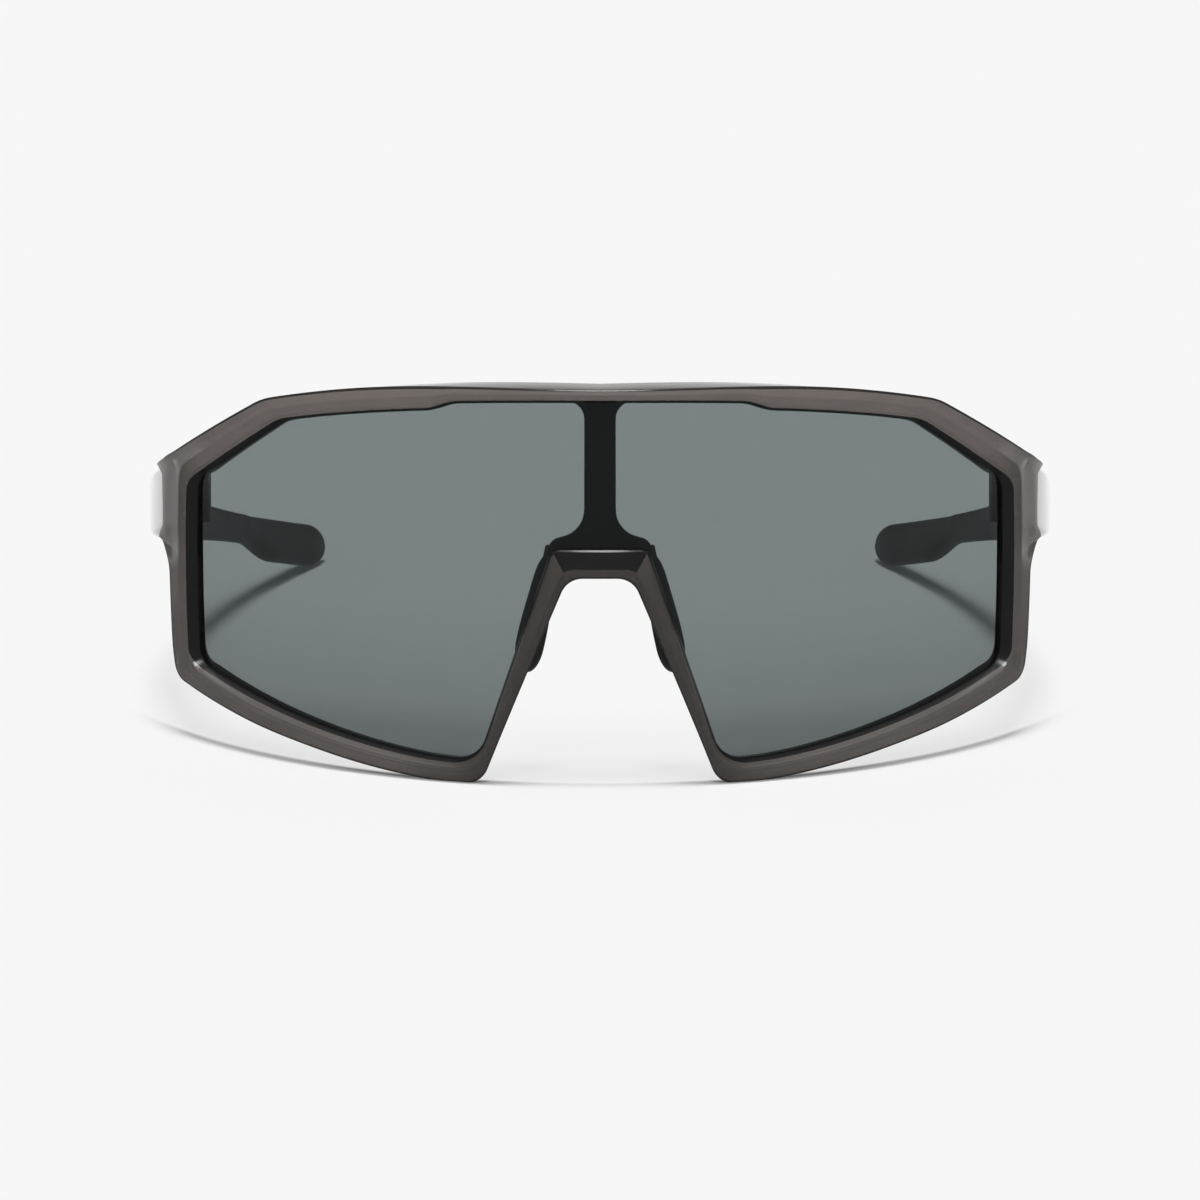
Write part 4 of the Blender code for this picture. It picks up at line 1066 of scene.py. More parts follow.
def smoke_plastic(settings):
    """Cloudy smoke moulding, with painted light along the brow and painted shade round the nose and in the
    lugs.
    """
    graph, material = Graph.material("smoke_plastic")
    place = graph.node("ShaderNodeTexCoord", output="Object")
    flow = graph.noise(place, scale=90.0, detail=3.0, roughness=0.55, stretch=(1.0, 1.0, 2.6))
    skin = graph.noise(place, scale=1500.0)
    haze = graph.ramp(flow, 0.38, 0.66)
    across, _, height = graph.split(place)
    aside = abs(across)
    # Masks of painted light along the brow and of painted shade round the nose and in the lugs
    brow = graph.ramp(height, *BROW_LIGHT_HEIGHT)
    nose = (1.0 - graph.ramp(aside, *NOSE_SHADE_REACH)) * (1.0 - graph.ramp(height, *NOSE_SHADE_HEIGHT))
    lug = graph.ramp(aside, *LUG_SHADE_REACH) * graph.ramp(height, *LUG_SHADE_HEIGHT)
    body = Vector(settings.smoke)
    line = graph.node("ShaderNodeAttribute", {"attribute_name": EDGE_SHADE_NAME}, output="Fac")
    # Plain smoke, its painted-light copy for the brow and its painted-shade copy for the nose and lugs
    plain, pale, painted_shade_smoke = [
        graph.blend(
            haze,
            opaque(body * (level * (1.0 + CLOUD_CONTRAST))),
            opaque(body * (level * (1.0 - CLOUD_CONTRAST))),
        )
        for level in (PLAIN_TONE, settings.brow_painted_light, settings.nose_and_lug_painted_shade)
    ]
    clouded_and_painted = graph.blend(nose.most(lug), graph.blend(brow, plain, pale), painted_shade_smoke)
    # Painted shade: the dark line along the rim's front edge
    colour_here = graph.blend(line, clouded_and_painted, opaque(body * EDGE_SHADE_TONE))
    roughness = settings.smoke_roughness + 0.05 * haze + 0.02 * skin
    shader = graph.node("ShaderNodeBsdfPrincipled", None, {
        "Base Color": colour_here,
        "Roughness": roughness,
        "IOR": RIM_IOR,
        "Transmission Weight": settings.smoke_clearness,
        "Normal": graph.bump(skin, distance=0.000006, strength=0.6),
    })
    volume = graph.node("ShaderNodeVolumeAbsorption", None, {
        "Color": opaque(settings.smoke_inside),
        "Density": settings.smoke_density,
    })
    graph.surface(shader, volume)
    return material


def lens_tint(settings):
    """Grey-green sheet: tint darker towards the bottom as painted shade, a polished skin with faint smears.
    """
    graph, material = Graph.material("grey_green_lens")
    place = graph.node("ShaderNodeTexCoord", output="Object")
    smear = graph.ramp(graph.noise(place, scale=40.0, detail=4.0, roughness=0.6), 0.45, 0.75)
    dust = graph.ramp(graph.noise(place, scale=900.0, detail=1.0), 0.70, 0.78)
    upper = [math.sqrt(level) for level in settings.tint]
    lower = [math.sqrt(level) for level in settings.shaded_lower_tint]
    _, _, height = graph.split(place)
    # Painted shade: the tint darkens towards the bottom of the lens
    tint = graph.blend(graph.ramp(height, *LENS_SHADE_HEIGHT), opaque(lower), opaque(upper))
    through = graph.node("ShaderNodeBsdfTransparent", None, {"Color": tint})
    gloss = graph.node("ShaderNodeBsdfGlossy", None, {
        "Color": (1.0, 1.0, 1.0, 1.0),
        "Roughness": settings.lens_roughness + 0.05 * smear + 0.10 * dust,
    })
    facing = graph.node("ShaderNodeLayerWeight", None, {"Blend": 0.5}, output="Facing")
    mirror = LENS_MIRROR + (1.0 - LENS_MIRROR) * facing**5.0
    graph.surface(graph.node("ShaderNodeMixShader", None, {0: mirror, 1: through, 2: gloss}))
    return material


def moulded(name, base, roughness, grain, depth, sheen=0.0):
    """Opaque moulding with a fine eroded grain, scuffs and a little dust."""
    graph, material = Graph.material(name)
    place = graph.node("ShaderNodeTexCoord", output="Object")
    cells = graph.noise(place, grain, roughness=0.6)
    patch = graph.noise(place, scale=120.0, detail=3.0, roughness=0.6)
    patch = graph.ramp(patch, 0.40, 0.70)
    scuff = graph.noise(place, scale=420.0, detail=3.0, roughness=0.65, stretch=(1.0, 0.25, 1.0))
    scuff = graph.ramp(scuff, 0.62, 0.80)
    base = Vector(base)
    shade = graph.blend(patch, opaque(base * 0.90), opaque(base * 1.18))
    dusty = graph.blend(0.35 * scuff, shade, opaque(base * 1.6 + Vector((0.004, 0.004, 0.004))))
    graph.surface(graph.node("ShaderNodeBsdfPrincipled", None, {
        "Base Color": dusty,
        "Roughness": roughness + 0.06 * patch + 0.10 * scuff + 0.05 * cells,
        "IOR": MOULDING_IOR,
        "Sheen Weight": sheen,
        "Normal": graph.bump(cells, depth),
    }))
    return material


def arm_plastic(settings):
    """Dark moulding, polished at the head and satin along the bar."""
    graph, material = Graph.material("dark_arm_plastic")
    place = graph.node("ShaderNodeTexCoord", output="Object")
    _, behind, _ = graph.split(place)
    satin = graph.ramp(behind, PIVOT.y + HEAD_END * 0.7, PIVOT.y + HEAD_END * 1.4)
    flow = graph.noise(place, scale=110.0, detail=3.0, roughness=0.6, stretch=(1.0, 0.4, 1.0))
    flow = graph.ramp(flow, 0.35, 0.70)
    skin = graph.noise(place, scale=1600.0)
    base = Vector(settings.arm_colour)
    graph.surface(graph.node("ShaderNodeBsdfPrincipled", None, {
        "Base Color": graph.blend(flow, opaque(base * 0.9), opaque(base * 1.15)),
        "Roughness": settings.arm_roughness + 0.35 * satin + 0.05 * flow + 0.03 * skin,
        "IOR": MOULDING_IOR,
        "Coat Weight": 1.0 - satin,
        "Coat Roughness": settings.arm_roughness,
        "Normal": graph.bump(skin, distance=0.000006, strength=0.6),
    }))
    return material


def brushed_steel(settings):
    """Stamped steel with fine brushing and a few darker marks."""
    graph, material = Graph.material("brushed_steel")
    place = graph.node("ShaderNodeTexCoord", output="Object")
    brush = graph.noise(place, scale=1400.0, detail=3.0, roughness=0.6, stretch=(1.0, 1.0, 0.06))
    mark = graph.ramp(graph.noise(place, scale=600.0, roughness=0.6), 0.55, 0.75)
    base = Vector(settings.steel)
    shade = graph.blend(brush, opaque(base * 0.82), opaque(base * 1.12))
    worn = graph.blend(0.4 * mark, shade, opaque(base * 0.55))
    graph.surface(graph.node("ShaderNodeBsdfPrincipled", None, {
        "Base Color": worn,
        "Metallic": 1.0,
        "Roughness": settings.steel_roughness + 0.12 * brush + 0.08 * mark,
        "Normal": graph.bump(brush, distance=0.000008, strength=0.5),
    }))
    return material


def flat_ring(loop, depth):
    return [Vector((point.x, depth, point.y)) for point in loop]


def brow_moved(loop, rule):
    """A loop whose top edge moves up by a rule, given the share of the way along the brow."""
    moved = []
    for point in loop:
        part = min(abs(point.x) / DIP_REACH, 1.0)
        rise = rule(part) if point.y > TOP_RISE / 2 else 0.0
        moved.append(Vector((point.x, point.y + rise)))
    return moved


def dipped(loop, depth):
    """A loop whose top edge dips towards the middle of the brow."""
    return brow_moved(loop, lambda part: -depth * (1.0 - part**2) ** 3)


def raised(loop, height):
    """A loop whose top edge rises along the brow, most at either side of the middle."""
    return brow_moved(loop, lambda part: height * (1.0 + RISE_SWELL * part) * (1.0 - part**2))


def side_flared(loop, distance):
    """A clockwise loop whose outer sides move outward by a distance."""
    moved = []
    for point, beyond in zip(loop, offset(loop, FIT)):
        out = (beyond - point).normalized()
        aside = max(math.copysign(out.x, out.x * point.x), 0.0)
        moved.append(point + out * (distance * aside**3))
    return moved


def ridge_line(settings):
    return dipped(outline(ridge_corners()), settings.top_dip * (1.0 - RIDGE_SHARE["top"]))


def back_opening(shift):
    """Rings of the opening behind the lens, from the groove to the rim's back."""
    opening = outline(opening_corners())
    steps = (
        (0.0, GROOVE_FLARE, GROOVE_BACK),
        (0.0, LIP_FLARE, GROOVE_BACK + BACK_LIP),
        (BACK_FLARE, BACK_SIDE_FLARE, RIM_DEPTH),
    )
    rings = []
    for out, aside, depth in steps:
        rings.append(flat_ring(side_flared(offset(opening, out + shift), aside), depth))
    return rings


def lip_ring(settings):
    """Front lip round the lens, which reaches up to the ridge over the nose arch."""
    opening = outline(opening_corners())
    lip = flat_ring(offset(opening, LIP_BEVEL), LIP_SETBACK)
    ridge = flat_ring(ridge_line(settings), 0.0)
    middle = len(lip) // 2
    for index in range(middle - ARCH_SPAN, middle + ARCH_SPAN + 1):
        lip[index] = ridge[index].lerp(lip[index], ARCH_LIP_SHARE)
    return lip


def rim_rings(settings):
    """Closed section rings of the rim, from the ridge outward, round the back to the lens lip."""
    outer = outline(outer_corners())
    lugged = outline(outer_corners(), lug=True)
    opening = outline(opening_corners())
    groove = offset(opening, GROOVE_DEPTH)
    edge = settings.edge_round
    dip = settings.top_dip
    ridge = flat_ring(ridge_line(settings), 0.0)
    reaches = [(far - near).length for far, near in zip(lugged, outer)]
    lugness = [ease((reach - edge) / LUG_BLEND) for reach in reaches]
    side_edge = flat_ring(dipped(outer, dip), 0.0)
    flat_edge = flat_ring(dipped(lugged, dip), 0.0)
    front = [spot.copy() for spot in flat_edge]
    for spot, part in zip(front, lugness):
        side = ease((abs(spot.x) - SIDE_START) / (SIDE_END - SIDE_START))
        side *= mix(JAW_SHARE, 1.0, ease((spot.z - JAW_START) / (JAW_END - JAW_START)))
        plain = settings.brow_setback if spot.z > TOP_RISE / 2 else EDGE_SETBACK
        spot.y = mix(mix(plain, settings.side_setback, side), EDGE_SETBACK, part)
    back = flat_ring(raised(offset(lugged, -BACK_TAPER), settings.back_rise), RIM_DEPTH)
    side_back = flat_ring(raised(offset(outer, -2 * BACK_TAPER), settings.back_rise), RIM_DEPTH)
    groove_lip, lip_end, back_lip = back_opening(0.0)
    rows = [(ridge, settings.ridge_round)]
    for part in spread(0.0, 1.0, FACE_ROWS)[1:FACE_ROWS // 2 + 1]:
        ring = [along(points, part) for points in zip(ridge, side_edge, flat_edge)]
        for spot, end, flow in zip(ring, front, lugness):
            spot.y = end.y * part * (1.0 + flow * (1.0 - part))
        rows.append((ring, 0.0))
    inner = rows[-1][0]
    # Rows that carry the painted shade line along the front edge
    for share_of_line, most in EDGE_SHADE_ROWS:
        width = share_of_line * settings.painted_edge_shade
        rows.append(([towards(spot, near, width, most) for spot, near in zip(front, inner)], 0.0))
    line_start = ROUND_STEPS + len(rows) - 1
    rows += [(front, edge), (back, edge)]
    for part in spread(0.0, 1.0, BACK_ROWS)[1:-1]:
        rows.append(([along(points, part) for points in zip(back, side_back, back_lip)], 0.0))
    rows += [
        (back_lip, settings.lip_round),
        (lip_end, settings.lip_round),
        (groove_lip, 0.0),
        (flat_ring(groove, GROOVE_BACK), 0.0),
        (flat_ring(groove, GROOVE_FRONT), 0.0),
        (flat_ring(opening, GROOVE_FRONT), settings.lip_round * 0.5),
        (lip_ring(settings), settings.lip_round),
    ]
    return softened(rows), range(line_start, line_start + ROUND_STEPS + 2)


def front_shade_sheet_rings(settings):
    """Section rings of the black sheet on the rim's front lip, painted shade on its inner wall, from its
    outer edge down to the lens.
    """
    opening = outline(opening_corners())
    edge = flat_ring(opening, GROOVE_FRONT)
    sections = []
    for index, (spot, lip) in enumerate(zip(edge, lip_ring(settings))):
        step = lip - spot
        out = Vector((step.x, 0.0, step.z)).normalized()
        run = math.hypot(step.x, step.z)
        normal = Vector((step.y * out.x, -run, step.y * out.z)).normalized()
        lifted = normal * settings.shade_sheet_lift
        sunk = normal * -settings.shade_sheet_thickness
        sideways = max(math.copysign(out.x, out.x * spot.x), 0.0)
        top = spot + step * mix(settings.shade_sheet_share, 1.0, sideways**3)
        low = spot + lifted
        strip = low
        foot = spot - step * (FIT / -step.y)
        if abs(index - len(edge) // 2) <= ARCH_SPAN:
            top = lip
            low = Vector((spot.x, ARCH_SHEET_DEPTH, spot.z)) + out * FIT
            strip = Vector((spot.x, ARCH_STRIP_DEPTH, spot.z))
            foot = Vector((spot.x, LENS_RECESS, spot.z))
        sections.append((top + lifted, low, strip, foot, foot + out * FIT, top + sunk))
    return list(zip(*sections))


def back_shade_sheet_rings(settings):
    """Section rings of the black sheet on the rim's back lip, painted shade behind the lens, from the lens
    to the rim's back.
    """
    shown = back_opening(-settings.shade_sheet_lift)
    hidden = back_opening(settings.shade_sheet_thickness)
    for spot in shown[0] + hidden[0]:
        spot.y = LENS_RECESS + LENS_THICKNESS
    for spot in shown[2] + hidden[2]:
        spot.y = RIM_DEPTH + settings.shade_sheet_lift
    return shown + hidden[::-1]


def prong_cutter(side):
    """Cutter that ends the lug behind the rim and opens the slot between its prongs."""
    half = PRONG_GAP / 2
    far = 4 * PRONG_GAP
    flat = [
        (PRONG_BASE, -half),
        (PRONG_BASE, half),
        (PRONG_END, PRONG_TIP_HALF),
        (PRONG_END, far),
        (far, far),
        (far, -far),
        (PRONG_END, -far),
        (PRONG_END, -PRONG_TIP_HALF),
    ]
    return placed(prism(flat, ARM_INNER_FACE - FIT, far), temple_leaf_place(side))


def shoulder_cutter(side, up):
    """Cutter that slopes one edge of the arm's end, so that it fits between the prongs."""
    slope = (PRONG_TIP_HALF - PRONG_GAP / 2) / (PRONG_END - PRONG_BASE)
    half = PRONG_GAP / 2 - FIT * math.hypot(1.0, slope)
    step = PRONG_END + FIT
    far = 4 * PRONG_GAP
    flat = [
        (-far, half),
        (PRONG_BASE, half),
        (step, half + (step - PRONG_BASE) * slope),
        (step, far),
        (-far, far),
    ]
    flat = [(reach, up * height) for reach, height in flat]
    return placed(prism(flat, -far, far), temple_leaf_place(side))


def leaf_boss(side):
    """Block moulded on the rim's back that gives the front leaf a flat seat."""
    half = FRONT_LEAF_HALF + BOSS_MARGIN
    seat = LEAF_FACE + FIT
    low = (KNUCKLE_RECESS, seat, -half)
    high = (FRONT_LEAF_LENGTH - BOSS_SHORT, seat + BOSS_DEPTH, half)
    return placed(box(low, high), front_leaf_place(side))


def leaf_pocket(side):
    """Cutter for the front leaf and its knuckles on the boss."""
    low = (-BARREL_RADIUS, -4 * BARREL_RADIUS, -FRONT_LEAF_HALF - FIT)
    high = (FRONT_LEAF_LENGTH + FIT, LEAF_FACE + FIT, FRONT_LEAF_HALF + FIT)
    return placed(box(low, high), front_leaf_place(side))


def column_outline():
    """Flat outline of the bar behind the lens and the saddle behind the nose arch."""
    flare_bottom = ARCH_RISE + SADDLE_MARGIN
    flare_top = ARCH_RISE + BRIDGE_HEIGHT + SADDLE_TOP_MARGIN
    top = TOP_RISE - COLUMN_TOP_MARGIN
    tab_bottom = TOP_RISE - RIM_TOP + RIM_MIDDLE_RAISE
    half = [
        (Vector((COLUMN_TOP_HALF, top)), COLUMN_CORNER_RADIUS),
        (Vector((COLUMN_TOP_HALF, tab_bottom)), TAB_RADIUS),
        (Vector((COLUMN_HALF, tab_bottom)), COLUMN_TOP_RADIUS),
        (Vector((COLUMN_HALF, flare_top + COLUMN_FLARE_RISE)), COLUMN_FLARE_RADIUS),
        (Vector((COLUMN_FLARE_HALF, flare_top)), SADDLE_SHOULDER_RADIUS),
        (Vector((SADDLE_SIDE_HALF, flare_top - SADDLE_SIDE_DROP)), COLUMN_CORNER_RADIUS),
        (Vector((COLUMN_FLARE_HALF - BRIDGE_FLARE, flare_bottom)), COLUMN_CORNER_RADIUS),
    ]
    other = [(Vector((-point.x, point.y)), radius) for point, radius in reversed(half)]
    return rounded_loop(half + other, CORNER_STEPS)


def pad_place(side):
    """From a pad's own axes (width, towards the nose, length) to the object."""
    upward = Vector((-math.sin(PAD_LEAN), 0.0, math.cos(PAD_LEAN)))
    splay = Vector((math.cos(PAD_SPLAY), math.sin(PAD_SPLAY), 0.0))
    width = (splay - upward * splay.dot(upward)).normalized()
    centre = wrap(PAD_REACH, PAD_RISE, RIM_DEPTH)[0] + Vector((0.0, PAD_BEHIND, 0.0))
    axes = Matrix((width, upward.cross(width), upward)).transposed().to_4x4()
    return mirror_for(side) @ FRONT_PLACE @ Matrix.Translation(centre) @ axes


def rounded_bar(low, high, radii, steps=BAR_STEPS):
    """Flat outline of a bar's section, with a radius for each of its four corners."""
    corners = ((low[0], low[1]), (high[0], low[1]), (high[0], high[1]), (low[0], high[1]))
    return rounded_loop([(Vector(point), radius) for point, radius in zip(corners, radii)], steps)


def tab_ring(height, margin):
    """Ring round the flat end of a pad's leg, or round its pocket with a margin."""
    half = TAB_HALF + margin
    deep = TAB_THICKNESS / 2 + margin
    flat = rounded_bar((-half, -deep), (half, deep), (TAB_RADIUS,) * 4, TAB_STEPS)
    return [Vector((point.x, point.y, height)) for point in flat]


def leg_rings():
    """Rings of a pad leg in its pad's space, from the bridge down into the pad."""
    root = wrap(LEG_ROOT_REACH, ARCH_RISE + BRIDGE_HEIGHT, RIM_DEPTH + FIT + COLUMN_DEPTH / 2)[0]
    root = pad_place("left").inverted() @ (FRONT_PLACE @ root)
    neck = PAD_LENGTH / 2 + FIT + TAB_HALF / 2
    rings = []
    for part in spread(0.0, 1.0, LEG_STEPS):
        sway = (1.0 - part) ** 2 * (1.0 + 2.0 * part)
        shift = Vector((root.x * sway, root.y * sway, (root.z - neck) * (1.0 - part)))
        rings.append([point + shift for point in tab_ring(neck, 0.0)])
    rings.append(tab_ring(neck - TAB_HALF / 2, 0.0))
    rings.append(tab_ring(neck - TAB_HALF / 2 - TAB_REACH, 0.0))
    return rings


def pad_rings(settings):
    """Rings of a soft pad in its own axes: rounded ends, crowned back, dished face."""
    half = PAD_LENGTH / 2
    round_end = settings.pad_end_round
    angles = spread(PAD_END_START, math.pi / 2, PAD_END_STEPS)
    heights = [-half + round_end * (1.0 - math.cos(angle)) for angle in angles[:-1]]
    inner = spread(-half + round_end, half - round_end, PAD_STEPS)
    heights = heights + inner + [-height for height in reversed(heights)]
    rings = []
    for height in heights:
        past = max(abs(height) - (half - round_end), 0.0) / round_end
        bulge = math.sqrt(max(1.0 - past**2, 0.0))
        taper = ease((height / half + PAD_TAPER) / (1.0 + PAD_TAPER))
        width = mix(PAD_BOTTOM_HALF, settings.pad_top_half, taper) * bulge
        thick = PAD_THICKNESS / 2 * bulge**PAD_END_POWER
        ring = []
        for k in range(PAD_SIDES):
            angle = 2 * math.pi * k / PAD_SIDES
            across = math.copysign(abs(math.cos(angle)) ** PAD_SQUARENESS, math.cos(angle))
            out = math.copysign(abs(math.sin(angle)) ** PAD_SQUARENESS, math.sin(angle))
            dish = settings.pad_dish * bulge * (1.0 - across**2) if out > 0.0 else 0.0
            ring.append(Vector((width * across, thick * out - dish, height)))
        rings.append(ring)
    return rings


def arm_outer(place):
    """Outer face of a temple: tucked in at the hinge, flaring out, then curving in to the ear."""
    tuck = max(1.0 - (place - PRONG_BASE - FIT) / HEAD_END, 0.0)
    inward = max(place - CURVE_START, 0.0) / (TEMPLE_LENGTH - CURVE_START)
    return ARM_OUTER_FACE - HEAD_TUCK * tuck**2 - CURVE_INWARD * inward**2


def arm_inner(place):
    head = TEMPLE_LEAF_LENGTH + KNUCKLE_RECESS
    slim = ease((place - head) / (HEAD_SLIM_END - head))
    return mix(ARM_INNER_FACE, arm_outer(place) - ARM_THICKNESS, slim)


def eased_rows(place, rows):
    """Value at a place along rows of (place, value), eased from one row to the next."""
    for (start, first), (end, last) in zip(rows, rows[1:]):
        if place <= end:
            return mix(first, last, ease((place - start) / (end - start)))
    return rows[-1][1]


def temple_section(place, low, high, radii):
    return [Vector((point.x, place, point.y)) for point in rounded_bar(low, high, radii)]


def arm_rings(settings):
    """Rings of an arm in hinge space: rounded head, slimming bar, and the tang inside the tip."""
    front = PRONG_BASE + FIT
    nose = settings.nose_round
    angles = spread(0.0, math.pi / 2, HEAD_STEPS)
    places = [front + nose * (1.0 - math.cos(angle)) for angle in angles]
    insets = [nose * (1.0 - math.sin(angle)) for angle in angles]
    later = spread(front + nose, TIP_START, ARM_STEPS)[1:]
    places += later
    insets += [0.0] * len(later)
    tops = [(0.0, HEAD_TOP), (SLIM_START, SLIM_TOP), (TIP_START, TIP_TOP)]
    bottoms = [(0.0, HEAD_BOTTOM), (SLIM_START, SLIM_BOTTOM), (TIP_START, TIP_NECK_BOTTOM)]
    rings = []
    for place, inset in zip(places, insets):
        top = eased_rows(place, tops)
        bottom = eased_rows(place, bottoms)
        inner = arm_inner(place)
        outer = arm_outer(place) - inset
        big = min(settings.outer_round, (outer - inner) * ROUND_LIMIT)
        small = settings.inner_round
        rings.append(temple_section(place, (inner, bottom), (outer, top), (small, big, big, small)))
    for place in spread(TIP_START, TEMPLE_LENGTH - TANG_SHORT, TANG_STEPS):
        rings.append(tang_ring(place, 0.0))
    return rings


def tang_ring(place, margin):
    """Ring round the arm's tang, or round its socket with a margin."""
    centre = arm_outer(place) - ARM_THICKNESS / 2
    half = TANG_THICKNESS / 2 + margin
    high = TANG_HALF + margin
    return temple_section(place, (centre - half, -high), (centre + half, high), (TANG_RADIUS,) * 4)


def tip_rings(settings):
    """Rings of a soft tip in hinge space, with its drop at the ear and its rounded end."""
    rounding = settings.tip_round
    straight_end = TEMPLE_LENGTH - rounding
    places = spread(TIP_START + settings.tip_gap, straight_end, TIP_STEPS)
    for angle in spread(0.0, TIP_END_ANGLE, TIP_END_STEPS)[1:]:
        places.append(straight_end + rounding * math.sin(angle))
    rows = [(TIP_START + TIP_SWEEP_START, TIP_NECK_BOTTOM), (TIP_START + TIP_SWEEP_END, TIP_BOTTOM)]
    rings = []
    for place in places:
        past = max(place - straight_end, 0.0) / rounding
        bottom = eased_rows(max(place, rows[0][0]), rows)
        shrink = (TIP_TOP - bottom) / 2 * (1.0 - math.sqrt(max(1.0 - past**2, 0.0)))
        thin = TIP_END_THINNING * past**2
        outer = arm_outer(place) - thin
        inner = arm_outer(place) - ARM_THICKNESS + thin
        narrow = min(outer - inner, TIP_TOP - bottom - 2 * shrink)
        radius = min(TIP_RADIUS, narrow * ROUND_LIMIT)
        low = (inner, bottom + shrink)
        high = (outer, TIP_TOP - shrink)
        rings.append(temple_section(place, low, high, (radius,) * 4))
    return rings


def screw_tree():
    """Tree that sets a slotted screw on each point, aimed along the point's own direction."""
    graph = Graph.geometry("slotted_screws")
    points = graph.group_input("Screw seats", "NodeSocketGeometry")
    radius, shank, head_radius, head_height, bevel, slot_width, slot_depth = graph.sizes({
        "Shank radius": LEAF_SCREW_RADIUS,
        "Shank length": LEAF_SCREW_LENGTH,
        "Head radius": LEAF_SCREW_HEAD_RADIUS,
        "Head height": LEAF_SCREW_HEAD_HEIGHT,
        "Head bevel": 0.0,
        "Slot width": 0.0,
        "Slot depth": 0.0,
    })
    seed = graph.group_input("Seed", "NodeSocketInt", SCREW_SEED)
    material = graph.group_input("Material", "NodeSocketMaterial")

    def moved(mesh, height):
        shift = graph.node("ShaderNodeCombineXYZ", None, {2: height})
        return graph.node("GeometryNodeTransform", None, {"Geometry": mesh, "Translation": shift})

    side = head_height - bevel
    drum = graph.node("GeometryNodeMeshCylinder", None, {
        "Vertices": HEAD_SIDES, "Radius": head_radius, "Depth": side,
    })
    dome = graph.node("GeometryNodeMeshCone", None, {
        "Vertices": HEAD_SIDES,
        "Radius Top": head_radius - bevel,
        "Radius Bottom": head_radius,
        "Depth": bevel,
    })
    pin = graph.node("GeometryNodeMeshCylinder", None, {
        "Vertices": SHANK_SIDES, "Radius": radius, "Depth": shank + side,
    })
    body = graph.node("GeometryNodeMeshBoolean", {"operation": "UNION", "solver": "EXACT"})
    for part in (moved(drum, side / 2.0), moved(dome, side), moved(pin, (side - shank) / 2.0)):
        graph.tree.links.new(part.socket, body.socket.node.inputs["Mesh 2"])
    size = graph.node("ShaderNodeCombineXYZ", None, {
        0: head_radius * 4.0, 1: slot_width, 2: slot_depth * 2.0,
    })
    blade = moved(graph.node("GeometryNodeMeshCube", None, {"Size": size}), head_height)
    screw = graph.node(
        "GeometryNodeMeshBoolean",
        {"operation": "DIFFERENCE", "solver": "EXACT"},
        {"Mesh 1": body, "Mesh 2": blade},
    )
    aim = graph.node("GeometryNodeInputNamedAttribute", {"data_type": "FLOAT_VECTOR"}, {"Name": "aim"})
    upright = graph.node("FunctionNodeAlignRotationToVector", {"axis": "Z"}, {"Vector": aim})
    spin = graph.node("FunctionNodeRandomValue", {"data_type": "FLOAT"}, {
        2: 0.0, 3: math.pi, "Seed": seed,
    }, output=1)
    twist = graph.node("FunctionNodeAxisAngleToRotation", None, {"Axis": (0.0, 0.0, 1.0), "Angle": spin})
    facing = graph.node(
        "FunctionNodeRotateRotation",
        {"rotation_space": "LOCAL"},
        {"Rotation": upright, "Rotate By": twist},
    )
    set_out = graph.node("GeometryNodeInstanceOnPoints", None, {
        "Points": points, "Instance": screw, "Rotation": facing,
    })
    return graph.finish_shape(set_out, material)


def screw_mesh(seats, tree, values):
    """Plain mesh of the screws on (place, aim) seats."""
    mesh = bpy.data.meshes.new("screw_seats")
    mesh.from_pydata([place for place, _ in seats], [], [])
    aims = mesh.attributes.new("aim", "FLOAT_VECTOR", "POINT")
    for item, (_, aim) in zip(aims.data, seats):
        item.vector = aim
    return grown_mesh(linked("screw_seats", mesh), tree, values)


def leaf_seats(places, matrix):
    """Seats of a leaf's screws, as (place, aim), from their places on the leaf."""
    seat = LEAF_FACE - LEAF_THICKNESS - SCREW_SEAT_GAP
    aim = (matrix.to_3x3() @ Vector((0.0, -1.0, 0.0))).normalized()
    return [(matrix @ Vector((reach, seat, height)), aim) for reach, height in places]


class SUNGLASSES_OT_front_frame(bpy.types.Operator):
    """Build the smoke rim with its ridge, lens groove, lugs and prongs"""

    bl_idname = "sunglasses.front_frame"
    bl_label = "Rim"

    def execute(self, context):
        settings = context.scene.sunglasses_front
        material = smoke_plastic(settings)
        rings, line = rim_rings(settings)
        rim = wrapped(loft(rings, cyclic=True, lined=line), material)
        joined = [leaf_boss(side) for side in SIDES]
        cut = [prong_cutter(side) for side in SIDES]
        cut += [leaf_pocket(side) for side in SIDES]
        rim = carved(rim, joined, cut + [floor_cut()])
        add_piece("rim", rim, material, "front", ["front_frame"])
        return {"FINISHED"}


class SUNGLASSES_OT_lens_shade_sheet(bpy.types.Operator):
    """Build the black sheet between the rim's lip and the lens, painted shade on the rim's inner wall"""

    bl_idname = "sunglasses.lens_seal"
    bl_label = "Lens seal"

    def execute(self, context):
        settings = context.scene.sunglasses_front
        # Black sheets in front of and behind the lens: painted shade on the rim's inner wall
        material = moulded(
            "black_shade_sheet", settings.shade_sheet_colour, settings.shade_sheet_roughness, grain=3000.0, depth=0.00001
        )
        for part, rings in (("front", front_shade_sheet_rings), ("back", back_shade_sheet_rings)):
            shade_sheet = wrapped(loft(rings(settings), cyclic=True), material)
            add_piece(f"{part}_seal", shade_sheet, material, "front", [], CRISP_ANGLE)
        return {"FINISHED"}


